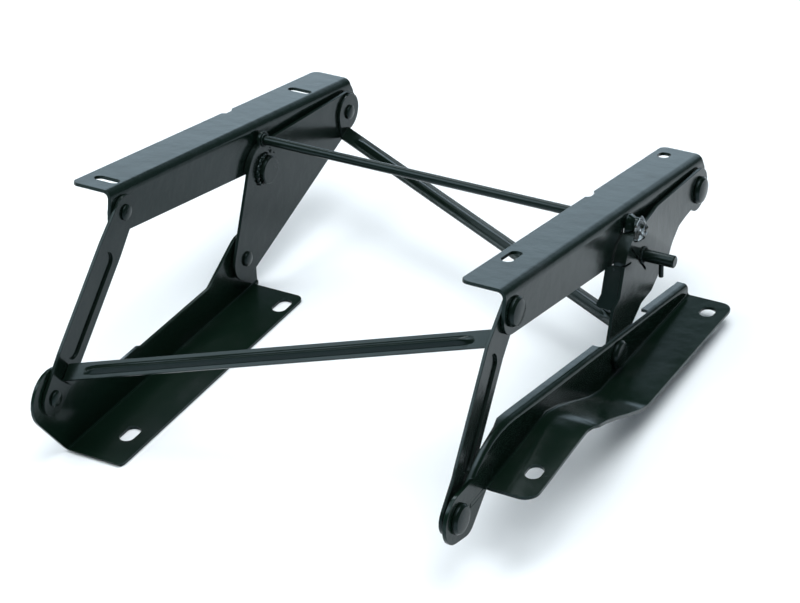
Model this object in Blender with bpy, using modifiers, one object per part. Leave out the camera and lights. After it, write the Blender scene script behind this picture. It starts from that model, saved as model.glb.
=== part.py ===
"""Seat riser: two floor rails and two seat rails joined by a four-bar swing linkage.

Units are metres. +Z is up, +Y points to the rear of the vehicle and +X to its right.
The origin lies on the underside of the left floor flange, midway between the two floor pivots.
The linkage is drawn at its down stop, where the seat rails slope down to the rear.
"""

import math

import bmesh
import bpy
from mathutils import Matrix, Vector

# Sheet, gaps and faceting
SHEET = 0.0025
BRACE_SHEET = 0.0020
GAP = 0.0003
FACET_DEG = 15.0

# Where the rails stand across the seat
RAIL_SPACING = 0.3030
FLOOR_RAIL_OFFSET = 0.0098

# Floor pivots
FRONT_PIVOT_Y = -0.1420
REAR_PIVOT_Y = 0.1005
FRONT_PIVOT_Z = 0.0510
REAR_PIVOT_Z = 0.0340

# Seat rails, in their own frame: along the rail, and down from the top face
SEAT_RAIL_LENGTH = 0.3340
SEAT_FLANGE_WIDTH = 0.0340
SEAT_BEND_RADIUS = 0.0065
SEAT_WEB_FRONT = 0.0345
SEAT_WEB_REAR = 0.0385
SEAT_FRONT_PIVOT = (0.0140, -0.0185)
SEAT_REAR_PIVOT = (0.3195, -0.0225)
SEAT_NOSE_RADIUS = 0.0145
SEAT_EAR_RADIUS = 0.0205
SEAT_CORNER_RADIUS = 0.0060
EDGE_NOTCH_START = 0.1940
EDGE_NOTCH_LENGTH = 0.0150
EDGE_NOTCH_DEPTH = 0.0028
SEAT_SLOT_WIDTH = 0.0085
LEFT_SEAT_SLOT_LENGTH = 0.0200
LEFT_SEAT_SLOT_INSET = 0.0165
LEFT_SEAT_SLOTS_ALONG = (0.0190, 0.2810)
RIGHT_SEAT_SLOT_INSET = 0.0245
RIGHT_SEAT_SLOT_FRONT = (0.0570, 0.0220)
RIGHT_SEAT_SLOT_REAR = (0.3150, 0.0130)

# Left floor rail
FLOOR_FLANGE_WIDTH = 0.0450
FLOOR_FOLD_RADIUS = 0.0020
LEFT_FLANGE_FRONT = -0.1360
LEFT_FLANGE_REAR = 0.1155
LEFT_WEB_TOE = -0.1295
LEFT_WEB_HEIGHT = 0.0335
LEFT_STEP_Y = -0.0395
LEFT_STEP_DEPTH = 0.0025
LEFT_FRONT_LOBE_RADIUS = 0.0215
LEFT_LOBE_RUNOUT = -0.0660
LEFT_REAR_EAR_RADIUS = 0.0200
LEFT_EAR_RUNUP = 0.0545
FLANGE_FRONT_CORNER = 0.0090
FLANGE_REAR_CORNER = 0.0060
FLOOR_SLOT_WIDTH = 0.0110
FLOOR_SLOT_LENGTH = 0.0190
LEFT_FLOOR_SLOT_FRONT = (0.0290, -0.0975)
LEFT_FLOOR_SLOT_REAR = (0.0360, 0.0975)

# Right floor rail
RIGHT_FLANGE_WIDTH = 0.0370
RIGHT_FLANGE_NARROW = 0.0335
RIGHT_FLANGE_FRONT = -0.1040
RIGHT_RAIL_REAR = 0.2320
RIGHT_STEP_HEIGHT = 0.0510
RIGHT_STEP_RISE = 0.0040
RIGHT_STEP_END = -0.0160
RIGHT_RAMP_END = 0.0700
RIGHT_RAMP_FOOT = 0.0205
RIGHT_REAR_HEIGHT = 0.0130
RIGHT_CREST_Y = -0.0600
RIGHT_CREST_Z = 0.0798
RIGHT_TOP_REAR_Z = 0.0215
RIGHT_NOSE_Y = -0.1260
RIGHT_NOSE_Z = 0.0650
CREST_ROUNDING = 2.4
RIGHT_LIP_FRONT = 0.0047
RIGHT_LIP_REAR = 0.0088
RIGHT_LIP_RADIUS = 0.0040
LIP_WIDENS = (-0.0880, -0.0700)
RIGHT_TONGUE_RADIUS = 0.0175
TONGUE_SWELL = 0.0001
TONGUE_CHIN = (-0.1295, 0.0415, 0.0115)
TONGUE_NECK = (-0.1030, 0.0590, 0.0080)
RIGHT_CORNER_RADIUS = 0.0110
LIP_CUT_FRONT = 0.0775
LIP_CUT_REAR = 0.1615
RIGHT_FLOOR_SLOTS = ((0.0212, -0.0765), (0.0232, 0.2115))
RIGHT_FLOOR_SLOT_LENGTH = 0.0150

# Front links
FRONT_LINK_LENGTH = 0.1380
FRONT_LINK_ANGLE = 43.5
FRONT_LINK_WIDTH = 0.0290
FRONT_LINK_TIP = 0.0125
FRONT_LINK_JOGGLE = 0.0073
FRONT_JOGGLE_START = 0.0220
FRONT_JOGGLE_LENGTH = 0.0870
RIB_START = 0.0275
RIB_FROM_HEAD = 0.0290
RIB_WIDTH = 0.0160
RIB_DEPTH = 0.0017

# Rear links, in their own frame: along the link from the floor pivot, and across it
REAR_LINK_LENGTH = 0.1660
REAR_FOOT_RADIUS = 0.0170
RIGHT_FOOT_RADIUS = 0.0130
REAR_EAR_RADIUS = 0.0165
LOBE_CENTRE = (0.0500, 0.0465)
LOBE_RADIUS = 0.0235
LEFT_STANDOFF = 0.0028
RIGHT_STANDOFF = 0.0075
RIGHT_EAR_STANDOFF = 0.0016
EAR_JOGGLE_ANGLE = 28.7
EAR_JOGGLE_START = 0.0860
EAR_JOGGLE_LENGTH = 0.0260
REAR_JOGGLE_DEPTH = 0.0030
REAR_JOGGLE_ANGLE = 48.6
REAR_JOGGLE_START = 0.0330
REAR_JOGGLE_LENGTH = 0.0090
LOBE_FLANGE_FROM = 78.0
LOBE_FLANGE_TO = 141.0
STOP_GAP = 0.0005
STOP_TAB_LENGTH = 0.0320
STOP_TAB_REACH = 0.0135
STOP_TAB_CORNER = 0.0035
TAB_INSET = 0.0002
RELIEF_WIDTH = 0.0014
RELIEF_LENGTH = 0.0110
SLIT_WIDTH = 0.0018
SLIT_TOP = (0.0434, 0.0652)
SLIT_FOOT = (0.0585, 0.0280)
WAIST = ((0.0360, -0.0030), (0.0765, 0.0040), (0.1060, 0.0045), (0.1400, -0.0025))
WAIST_RADIUS = 0.0300
EAR_SHAVE = 0.0002

# Cross rod, braces and latch
ROD_RADIUS = 0.0036
ROD_OVERHANG = 0.0020
ROD_CENTRE = (0.0600, 0.0700)
ROD_BOSS_WIDTH = 0.0130
WELD_THROAT = 0.0032
BRACE_WIDTH = 0.0120
BRACE_RIB_HEIGHT = 0.0030
BRACE_RIB_WIDTH = 0.0060
BRACE_FLAT = 0.0140
BRACE_RUNOUT = 0.0120
BRACE_TAB_HEIGHT = 0.0130
FRONT_BRACE_LOW = 0.0190
FRONT_BRACE_FROM_HEAD = 0.0200
REAR_BRACE_FOOT = (0.0270, -0.0040)
REAR_BRACE_FROM_EAR = 0.0115
REAR_BRACE_ACROSS = -0.0120
EAR_TAB_RADIUS = 0.0150
PIN_CENTRE = (0.0585, 0.0430)
BOSS_CENTRE = (0.0515, 0.0470)
PIN_RADIUS = 0.0045
PIN_LENGTH = 0.0240
PEG_RADIUS = 0.0018
PEG_LENGTH = 0.0100
PEG_FROM_END = 0.0105
BOSS_RADIUS = 0.0110
BOSS_HEIGHT = 0.0050

# Rivets
SHANK_RADIUS = 0.0050
HEAD_RADIUS = 0.0105
HEAD_HEIGHT = 0.0045
TAIL_RADIUS = 0.0058
TAIL_HEIGHT = 0.0024
OPEN_PIVOT_PLAY = 0.0029
WASHER_RADIUS = 0.0110

# Paint
BLACK = (0.012, 0.013, 0.013, 1.0)
ROUGHNESS = 0.22

LEFT_X = -(LEFT_FLOOR_SLOT_FRONT[0] + LEFT_FLOOR_SLOT_REAR[0]) / 2
RIGHT_X = LEFT_X + RAIL_SPACING
RIGHT_FLOOR_X = RIGHT_X + FLOOR_RAIL_OFFSET
FRONT_PIVOT = Vector((FRONT_PIVOT_Y, FRONT_PIVOT_Z))
REAR_PIVOT = Vector((REAR_PIVOT_Y, REAR_PIVOT_Z))
HOLE_RADIUS = SHANK_RADIUS + GAP
RIB_END = FRONT_LINK_LENGTH - RIB_FROM_HEAD
FRONT_BRACE_HIGH = FRONT_LINK_LENGTH - FRONT_BRACE_FROM_HEAD
REAR_BRACE_EAR = (REAR_LINK_LENGTH - REAR_BRACE_FROM_EAR, REAR_BRACE_ACROSS)
SIDE = Matrix(((0, 0, 1, 0), (1, 0, 0, 0), (0, 1, 0, 0), (0, 0, 0, 1)))
FRONT_LINK_BODY = (
    "front_link_left", "front_link_right", "front_brace",
    "front_upper_rivet_left", "front_upper_rivet_right",
)
REAR_LINK_BODY = (
    "rear_link_left", "rear_link_right", "rear_brace", "cross_rod",
    "rod_weld_left", "rod_weld_right", "latch_boss_left", "latch_pin_right",
    "pin_weld", "cross_peg", "rear_upper_rivet_left", "rear_upper_rivet_right",
    "rear_upper_washer_left", "rear_upper_bush_right",
)
SEAT_RAIL_BODY = ("seat_rail_left", "seat_rail_right")


def meet(first, radius_a, second, radius_b):
    """Rear crossing of two circles in the side plane, as (y, z)."""
    span = second - first
    reach = span.length
    along = (radius_a ** 2 - radius_b ** 2 + reach ** 2) / (2 * reach)
    height = math.sqrt(radius_a ** 2 - along ** 2)
    ahead = span / reach
    return first + ahead * along + Vector((ahead.y, -ahead.x)) * height


def solve_linkage():
    """Upper pivots at rest, from the front link's angle and the lengths of the four bars."""
    lean = math.radians(FRONT_LINK_ANGLE)
    front = FRONT_PIVOT + FRONT_LINK_LENGTH * Vector((math.cos(lean), math.sin(lean)))
    coupler = (Vector(SEAT_REAR_PIVOT) - Vector(SEAT_FRONT_PIVOT)).length
    rear = meet(REAR_PIVOT, REAR_LINK_LENGTH, front, coupler)
    if rear.y < REAR_PIVOT.y or rear.x < REAR_PIVOT.x:
        rear = meet(front, coupler, REAR_PIVOT, REAR_LINK_LENGTH)
    return front, rear


FRONT_TOP, REAR_TOP = solve_linkage()


def side_frame(origin, angle, x):
    """Matrix that maps (along, across, outward) of a side plane to the world."""
    place = Matrix.Translation((x, origin[0], origin[1]))
    return place @ Matrix.Rotation(angle, 4, "X") @ SIDE


def heading(start, end):
    """Angle of the line between two side-plane points."""
    return math.atan2(end[1] - start[1], end[0] - start[0])


FRONT_ANGLE = heading(FRONT_PIVOT, FRONT_TOP)
REAR_ANGLE = heading(REAR_PIVOT, REAR_TOP)
RAIL_ANGLE = heading(FRONT_TOP, REAR_TOP) - heading(SEAT_FRONT_PIVOT, SEAT_REAR_PIVOT)


def seat_rail_origin():
    """World (y, z) of the rail frame's origin, at the front end of the top face."""
    turn = Matrix.Rotation(RAIL_ANGLE, 2)
    return FRONT_TOP - turn @ Vector(SEAT_FRONT_PIVOT)


SEAT_ORIGIN = seat_rail_origin()


def seat_frame(x):
    """Matrix that maps (across, along, up) of a seat rail to the world."""
    place = Matrix.Translation((x, SEAT_ORIGIN.x, SEAT_ORIGIN.y))
    return place @ Matrix.Rotation(RAIL_ANGLE, 4, "X")


def turned(point, angle):
    """A side-plane vector turned by an angle."""
    return Matrix.Rotation(angle, 2) @ Vector(point)


def clear_scene():
    """Remove every object, so that the model stands alone."""
    for thing in list(bpy.data.objects):
        bpy.data.objects.remove(thing, do_unlink=True)


clear_scene()
PARTS = bpy.data.collections.new("seat_riser")
CUTTERS = bpy.data.collections.new("cutters")
for group in (PARTS, CUTTERS):
    bpy.context.scene.collection.children.link(group)


def paint(name):
    """A black gloss paint of its own for one sub-part."""
    material = bpy.data.materials.new(name + "_paint")
    material.use_nodes = True
    shader = material.node_tree.nodes["Principled BSDF"]
    shader.inputs["Base Color"].default_value = BLACK
    shader.inputs["Roughness"].default_value = ROUGHNESS
    shader.inputs["Metallic"].default_value = 0.0
    material.diffuse_color = BLACK
    return material


def add_object(name, mesh, matrix, collection=PARTS):
    """Link a mesh as an object with its own paint and smooth round faces."""
    thing = bpy.data.objects.new(name, mesh)
    collection.objects.link(thing)
    thing.matrix_world = matrix
    if collection is PARTS:
        mesh.materials.append(paint(name))
    else:
        thing.hide_render = True
        thing.display_type = "WIRE"
    return thing


def mesh_from(builder, name):
    """Mesh data made from a bmesh."""
    mesh = bpy.data.meshes.new(name)
    builder.to_mesh(mesh)
    builder.free()
    return mesh


def arc(centre, radius, start, end):
    """Points of an arc between two angles in degrees, both ends included."""
    steps = max(1, math.ceil(abs(end - start) / FACET_DEG))
    points = []
    for step in range(steps + 1):
        angle = math.radians(start + (end - start) * step / steps)
        points.append((centre[0] + radius * math.cos(angle), centre[1] + radius * math.sin(angle)))
    return points


def circle(centre, radius):
    """Points once round a circle."""
    return arc(centre, radius, 0.0, 360.0)[:-1]


def slot_outline(centre, length, width, angle=0.0):
    """A slot with round ends, its length along the given angle in degrees."""
    reach = turned(((length - width) / 2, 0.0), math.radians(angle))
    far = (centre[0] + reach.x, centre[1] + reach.y)
    near = (centre[0] - reach.x, centre[1] - reach.y)
    return arc(far, width / 2, angle - 90, angle + 90) + arc(near, width / 2, angle + 90, angle + 270)


def rounded(corners):
    """Outline through (x, y, radius) corners, each with a fillet of its radius."""
    points = []
    count = len(corners)
    for index, (x, y, radius) in enumerate(corners):
        here = Vector((x, y))
        if radius <= 0.0:
            points.append((x, y))
            continue
        before = (Vector(corners[index - 1][:2]) - here).normalized()
        after = (Vector(corners[(index + 1) % count][:2]) - here).normalized()
        half = before.angle(after) / 2
        centre = here + (before + after).normalized() * (radius / math.sin(half))
        start = here + before * (radius / math.tan(half)) - centre
        end = here + after * (radius / math.tan(half)) - centre
        first = math.degrees(math.atan2(start.y, start.x))
        sweep = math.degrees(start.angle_signed(end)) * -1.0
        points.extend(arc(centre, radius, first, first + sweep))
    return points


def tangent(first, second):
    """Outer tangent from one (x, y, radius) circle to the next, travelling counter-clockwise.

    Gives the outside normal and the two touching points."""
    span = Vector((second[0] - first[0], second[1] - first[1]))
    lean = math.acos((first[2] - second[2]) / span.length)
    normal = math.atan2(span.y, span.x) - lean
    out = Vector((math.cos(normal), math.sin(normal)))
    return out, Vector(first[:2]) + out * first[2], Vector(second[:2]) + out * second[2]


def belt(circles):
    """Outline of a tight belt round (x, y, radius) circles that are named counter-clockwise."""
    points = []
    normals = []
    for index, ring in enumerate(circles):
        out = tangent(ring, circles[(index + 1) % len(circles)])[0]
        normals.append(math.degrees(math.atan2(out.y, out.x)))
    for index, ring in enumerate(circles):
        start = normals[index - 1]
        end = normals[index]
        while end < start - 0.001:
            end += 360.0
        points.extend(arc(ring[:2], ring[2], start, end))
    return points


def prism(name, outline, thickness, matrix, collection=PARTS):
    """A flat outline extruded along its frame's third axis, from 0 to the thickness."""
    curve = bpy.data.curves.new(name + "_outline", "CURVE")
    curve.dimensions = "2D"
    curve.fill_mode = "BOTH"
    curve.extrude = thickness / 2
    spline = curve.splines.new("POLY")
    spline.points.add(len(outline) - 1)
    for point, place in zip(spline.points, outline):
        point.co = (place[0], place[1], 0.0, 1.0)
    spline.use_cyclic_u = True
    lift = Matrix.Translation((0, 0, thickness / 2))
    return curve_to_mesh(name, curve, matrix @ lift, collection)


def curve_to_mesh(name, curve, matrix, collection=PARTS):
    """Turn a curve into a closed mesh object with welded caps."""
    source = bpy.data.objects.new(name + "_curve", curve)
    bpy.context.scene.collection.objects.link(source)
    bpy.context.view_layer.update()
    graph = bpy.context.evaluated_depsgraph_get()
    mesh = bpy.data.meshes.new_from_object(source.evaluated_get(graph))
    bpy.data.objects.remove(source, do_unlink=True)
    mesh.materials.clear()
    builder = bmesh.new()
    builder.from_mesh(mesh)
    bmesh.ops.remove_doubles(builder, verts=builder.verts, dist=0.000002)
    bmesh.ops.recalc_face_normals(builder, faces=builder.faces)
    builder.to_mesh(mesh)
    builder.free()
    return add_object(name, mesh, matrix, collection)


def boolean(target, tool, operation):
    """Add an exact Boolean modifier to the target."""
    modifier = target.modifiers.new(operation.title() + "_" + tool.name, "BOOLEAN")
    modifier.operation = operation
    modifier.solver = "EXACT"
    modifier.object = tool


def bake(target):
    """Replace the target's mesh by its evaluated one and drop its modifiers."""
    bpy.context.view_layer.update()
    graph = bpy.context.evaluated_depsgraph_get()
    mesh = bpy.data.meshes.new_from_object(target.evaluated_get(graph))
    target.modifiers.clear()
    target.data = mesh


def cut_prism(target, label, outline, thickness, matrix, operation="DIFFERENCE"):
    """Cut, keep or add a prism on the target."""
    tool = prism(target.name + "_" + label, outline, thickness, matrix, CUTTERS)
    boolean(target, tool, operation)


def joggle(target, direction, start, length, offset):
    """Shift a sheet sideways past a line: bisect it at both bends and move the rest outward."""
    bake(target)
    builder = bmesh.new()
    builder.from_mesh(target.data)
    lead = Vector((direction[0], direction[1], 0.0)).normalized()
    for distance in (start, start + length):
        geometry = builder.verts[:] + builder.edges[:] + builder.faces[:]
        bmesh.ops.bisect_plane(builder, geom=geometry, plane_co=lead * distance, plane_no=lead)
    for vertex in builder.verts:
        share = (vertex.co.dot(lead) - start) / length
        vertex.co.z += offset * min(1.0, max(0.0, share))
    builder.to_mesh(target.data)
    builder.free()


def folded(name, stations, section, matrix, thickness=SHEET):
    """A folded sheet: an open surface through one (x, z) section at each station, made solid."""
    builder = bmesh.new()
    rows = []
    for station in stations:
        rows.append([builder.verts.new((x, station, z)) for x, z in section(station)])
    for low, high in zip(rows, rows[1:]):
        for index in range(len(low) - 1):
            builder.faces.new((low[index], low[index + 1], high[index + 1], high[index]))
    thing = add_object(name, mesh_from(builder, name), matrix)
    wall = thing.modifiers.new("Sheet", "SOLIDIFY")
    wall.thickness = thickness
    wall.offset = -1.0
    wall.use_even_offset = True
    return thing


def round_piece(name, profile, x, centre, collection=PARTS):
    """A turned piece on an axis along X: a (radius, x) profile swept by a Screw modifier."""
    builder = bmesh.new()
    vertices = [builder.verts.new((radius, 0.0, height)) for radius, height in profile]
    for first, second in zip(vertices, vertices[1:]):
        builder.edges.new((first, second))
    if profile[0][0] > 0.0:
        builder.edges.new((vertices[-1], vertices[0]))
    matrix = Matrix.Translation((x, centre[0], centre[1])) @ SIDE
    thing = add_object(name, mesh_from(builder, name), matrix, collection)
    screw = thing.modifiers.new("Turn", "SCREW")
    screw.steps = 24
    screw.render_steps = 24
    screw.use_merge_vertices = True
    screw.merge_threshold = 0.00001
    screw.use_smooth_shade = True
    return thing


def seat_section(station):
    """L section of a seat rail: flange to the left of the web, with a wide outer bend."""
    depth = SEAT_WEB_REAR + 2 * SHEET
    bend = arc((-SEAT_BEND_RADIUS, -SEAT_BEND_RADIUS), SEAT_BEND_RADIUS, 90, 0)
    return [(-SEAT_FLANGE_WIDTH - SHEET, 0.0)] + bend + [(0.0, -depth)]


def seat_side_outline():
    """Side view of a seat rail: round nose, straight lower edge and a round rear ear."""
    nose = SEAT_FRONT_PIVOT
    ear = (SEAT_REAR_PIVOT[0], SEAT_REAR_PIVOT[1] + 0.0035)
    lower = math.degrees(heading((0.0, -SEAT_WEB_FRONT), (SEAT_RAIL_LENGTH, -SEAT_WEB_REAR)))
    front = arc((nose[0], -SEAT_WEB_FRONT + SEAT_NOSE_RADIUS), SEAT_NOSE_RADIUS, 180, 270 + lower)
    rear = arc(ear, SEAT_EAR_RADIUS, 270 + lower, 385)
    top = SHEET
    return front + rear + [(SEAT_RAIL_LENGTH, -SHEET * 2), (SEAT_RAIL_LENGTH, top), (0.0, top)]


def seat_top_outline():
    """Plan of the seat flange, with round outer corners and a notch in the outer edge."""
    edge = -SEAT_FLANGE_WIDTH
    notch = edge + EDGE_NOTCH_DEPTH
    start = EDGE_NOTCH_START
    end = start + EDGE_NOTCH_LENGTH
    far = SEAT_RAIL_LENGTH + SEAT_EAR_RADIUS
    return rounded([
        (SHEET, -SHEET, 0.0),
        (SHEET, far, 0.0),
        (-SHEET * 2, far, 0.0),
        (-SHEET * 2, SEAT_RAIL_LENGTH, 0.0),
        (edge, SEAT_RAIL_LENGTH, SEAT_CORNER_RADIUS),
        (edge, end, 0.0),
        (notch, end - EDGE_NOTCH_LENGTH / 3, 0.0),
        (notch, start + EDGE_NOTCH_DEPTH, 0.0),
        (edge, start, 0.0),
        (edge, 0.0, SEAT_CORNER_RADIUS),
        (-SHEET * 2, 0.0, 0.0),
        (-SHEET * 2, -SHEET, 0.0),
    ])


def rod_notch_outline():
    """Arc slot in the right seat rail's web, open below, for the cross rod's swing."""
    arm = Vector(ROD_CENTRE) - Vector((REAR_LINK_LENGTH, 0.0))
    start = math.degrees(math.atan2(arm.y, arm.x) + REAR_ANGLE - RAIL_ANGLE)
    end = start + math.degrees(SEAT_WEB_REAR / arm.length)
    room = ROD_RADIUS + 4 * GAP
    lean = math.radians(start)
    tip = Vector(SEAT_REAR_PIVOT) + arm.length * Vector((math.cos(lean), math.sin(lean)))
    outer = arc(SEAT_REAR_PIVOT, arm.length + room, start, end)
    inner = arc(SEAT_REAR_PIVOT, arm.length - room, end, start)
    return outer + inner + arc(tip, room, start + 180, start + 360)[1:-1]


def seat_rail(name, x, pivots, slots):
    """One seat rail: folded, trimmed in side and plan view, then pierced."""
    rail = folded(name, (-SHEET, SEAT_RAIL_LENGTH + SEAT_EAR_RADIUS), seat_section, seat_frame(x))
    across = seat_frame(x - SEAT_FLANGE_WIDTH * 2) @ SIDE
    depth = SEAT_FLANGE_WIDTH * 3
    cut_prism(rail, "side", seat_side_outline(), depth, across, "INTERSECT")
    below = seat_frame(x) @ Matrix.Translation((0, 0, -SEAT_WEB_REAR * 2))
    cut_prism(rail, "plan", seat_top_outline(), SEAT_WEB_REAR * 3, below, "INTERSECT")
    for index, (centre, radius) in enumerate(pivots):
        cut_prism(rail, "pivot%d" % index, circle(centre, radius), depth, across)
    through = seat_frame(x) @ Matrix.Translation((0, 0, -SHEET * 2))
    for index, outline in enumerate(slots):
        cut_prism(rail, "slot%d" % index, outline, SHEET * 3, through)
    return rail


def seat_rails():
    """Both seat rails, which are of the same hand but slotted differently."""
    pivots = ((SEAT_FRONT_PIVOT, HOLE_RADIUS + OPEN_PIVOT_PLAY), (SEAT_REAR_PIVOT, HOLE_RADIUS))
    left_slots = []
    for along in LEFT_SEAT_SLOTS_ALONG:
        centre = (-LEFT_SEAT_SLOT_INSET, along)
        left_slots.append(slot_outline(centre, LEFT_SEAT_SLOT_LENGTH, SEAT_SLOT_WIDTH))
    right_slots = []
    for along, length in (RIGHT_SEAT_SLOT_FRONT, RIGHT_SEAT_SLOT_REAR):
        centre = (-RIGHT_SEAT_SLOT_INSET, along)
        right_slots.append(slot_outline(centre, length, SEAT_SLOT_WIDTH, 90.0))
    left = seat_rail("seat_rail_left", LEFT_X, pivots, left_slots)
    right = seat_rail("seat_rail_right", RIGHT_X, pivots, right_slots)
    across = seat_frame(RIGHT_X - SHEET * 2) @ SIDE
    cut_prism(right, "rod_notch", rod_notch_outline(), SHEET * 3, across)
    return [left, right]


def left_floor_section(_station):
    """L section of the left floor rail: web at the left, flange to the right."""
    tall = max(REAR_PIVOT_Z + LEFT_REAR_EAR_RADIUS, FRONT_PIVOT_Z + LEFT_FRONT_LOBE_RADIUS)
    centre = (FLOOR_FOLD_RADIUS, SHEET + FLOOR_FOLD_RADIUS)
    fold = arc(centre, FLOOR_FOLD_RADIUS, 180, 270)
    return [(0.0, tall + SHEET)] + fold + [(FLOOR_FLANGE_WIDTH + SHEET, SHEET)]


def left_floor_side_outline():
    """Side view: front lobe round the pivot, low web with a step, rear ear."""
    lobe = (FRONT_PIVOT.x, FRONT_PIVOT.y, LEFT_FRONT_LOBE_RADIUS)
    toe = (LEFT_WEB_TOE, -SHEET)
    step = LEFT_STEP_Y
    low = LEFT_WEB_HEIGHT - LEFT_STEP_DEPTH
    ear = (REAR_PIVOT.x, REAR_PIVOT.y)
    front = math.degrees(tangent_angle(toe, lobe, -1))
    back = math.degrees(tangent_angle((LEFT_LOBE_RUNOUT, LEFT_WEB_HEIGHT), lobe, 1))
    rise = math.degrees(tangent_angle((LEFT_EAR_RUNUP, low), (*ear, LEFT_REAR_EAR_RADIUS), -1))
    rise %= 360
    if front < back:
        front += 360
    outline = [toe] + arc(lobe[:2], lobe[2], front, back)
    outline += [(LEFT_LOBE_RUNOUT, LEFT_WEB_HEIGHT), (step, LEFT_WEB_HEIGHT)]
    outline += [(step + 2 * LEFT_STEP_DEPTH, low), (LEFT_EAR_RUNUP, low)]
    outline += arc(ear, LEFT_REAR_EAR_RADIUS, rise, 0.0)
    outline += [(ear[0] + LEFT_REAR_EAR_RADIUS, -SHEET)]
    return outline


def tangent_angle(point, ring, turn):
    """Angle on a ring where the line from an outside point touches it, on one side."""
    offset = Vector((point[0] - ring[0], point[1] - ring[1]))
    return math.atan2(offset.y, offset.x) + turn * math.acos(ring[2] / offset.length)


def left_floor_rail():
    """Left floor rail: folded, trimmed and pierced."""
    place = Matrix.Translation((LEFT_X, 0, 0))
    start = FRONT_PIVOT.x - LEFT_FRONT_LOBE_RADIUS - SHEET
    end = REAR_PIVOT.x + LEFT_REAR_EAR_RADIUS + SHEET
    rail = folded("floor_rail_left", (start, end), left_floor_section, place)
    depth = FLOOR_FLANGE_WIDTH * 2
    across = Matrix.Translation((LEFT_X - SHEET * 2, 0, 0)) @ SIDE
    cut_prism(rail, "side", left_floor_side_outline(), depth, across, "INTERSECT")
    plan = rounded([
        (-SHEET * 2, start, 0.0),
        (FLOOR_FOLD_RADIUS / 2, start, 0.0),
        (FLOOR_FOLD_RADIUS / 2, LEFT_FLANGE_FRONT, 0.0),
        (FLOOR_FLANGE_WIDTH, LEFT_FLANGE_FRONT, FLANGE_FRONT_CORNER),
        (FLOOR_FLANGE_WIDTH, LEFT_FLANGE_REAR, FLANGE_REAR_CORNER),
        (FLOOR_FOLD_RADIUS / 2, LEFT_FLANGE_REAR, 0.0),
        (FLOOR_FOLD_RADIUS / 2, end, 0.0),
        (-SHEET * 2, end, 0.0),
    ])
    below = Matrix.Translation((LEFT_X, 0, -SHEET))
    cut_prism(rail, "plan", plan, FRONT_PIVOT_Z * 2, below, "INTERSECT")
    for index, centre in enumerate((FRONT_PIVOT, REAR_PIVOT)):
        cut_prism(rail, "pivot%d" % index, circle(centre, HOLE_RADIUS), SHEET * 3, across)
    for index, centre in enumerate((LEFT_FLOOR_SLOT_FRONT, LEFT_FLOOR_SLOT_REAR)):
        outline = slot_outline(centre, FLOOR_SLOT_LENGTH, FLOOR_SLOT_WIDTH, 90.0)
        cut_prism(rail, "slot%d" % index, outline, SHEET * 3, below)
    return rail


def blend(share):
    """Smooth step from 0 to 1."""
    share = min(1.0, max(0.0, share))
    return share * share * (3.0 - 2.0 * share)


def right_flange_height(station):
    """Top of the right floor flange: a raised front step, a ramp and a low rear part."""
    crest = RIGHT_STEP_HEIGHT + RIGHT_STEP_RISE
    front = (station - RIGHT_FLANGE_FRONT) / (RIGHT_STEP_END - RIGHT_FLANGE_FRONT)
    ramp = (station - RIGHT_STEP_END) / (RIGHT_RAMP_END - RIGHT_STEP_END)
    tail = (station - RIGHT_RAMP_END) / (RIGHT_RAIL_REAR - RIGHT_RAMP_END)
    if ramp <= 0.0:
        return RIGHT_STEP_HEIGHT + RIGHT_STEP_RISE * blend(front)
    if tail <= 0.0:
        return crest + (RIGHT_RAMP_FOOT - crest) * (0.35 * blend(ramp) + 0.65 * ramp)
    return RIGHT_RAMP_FOOT + (RIGHT_REAR_HEIGHT - RIGHT_RAMP_FOOT) * min(1.0, tail)


def right_top_height(station):
    """Top of the right floor rail's lip: a straight line that rounds over to the nose in front."""
    slope = (RIGHT_TOP_REAR_Z - RIGHT_CREST_Z) / (RIGHT_RAIL_REAR - RIGHT_CREST_Y)
    line = RIGHT_CREST_Z + slope * (station - RIGHT_CREST_Y)
    if station >= RIGHT_CREST_Y:
        return line
    nose_line = RIGHT_CREST_Z + slope * (RIGHT_NOSE_Y - RIGHT_CREST_Y)
    rise = (RIGHT_CREST_Y - station) / (RIGHT_CREST_Y - RIGHT_NOSE_Y)
    return line - (nose_line - RIGHT_NOSE_Z) * rise ** CREST_ROUNDING


def right_lip_width(station):
    """The inward lip is narrow beside the front link and full behind it."""
    start, end = LIP_WIDENS
    share = blend((station - start) / (end - start))
    return RIGHT_LIP_FRONT + (RIGHT_LIP_REAR - RIGHT_LIP_FRONT) * share


def right_floor_section(station):
    """Z section: inward lip, web, outward floor flange."""
    top = right_top_height(station)
    low = right_flange_height(station)
    lip = arc((-RIGHT_LIP_RADIUS, top - RIGHT_LIP_RADIUS), RIGHT_LIP_RADIUS, 90, 0)
    fold = arc((FLOOR_FOLD_RADIUS, low + FLOOR_FOLD_RADIUS), FLOOR_FOLD_RADIUS, 180, 270)
    return [(-right_lip_width(station), top)] + lip + fold + [(RIGHT_FLANGE_WIDTH + SHEET, low)]


def right_floor_stations():
    """Stations along the right floor rail, closer where its lines curve."""
    stations = []
    spans = (
        (RIGHT_NOSE_Y, RIGHT_CREST_Y, 6),
        (RIGHT_CREST_Y, RIGHT_STEP_END, 3),
        (RIGHT_STEP_END, RIGHT_RAMP_END, 5),
        (RIGHT_RAMP_END, RIGHT_RAIL_REAR, 3),
    )
    for start, end, count in spans:
        stations += [start + (end - start) * step / count for step in range(count)]
    return stations + [RIGHT_RAIL_REAR]


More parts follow.
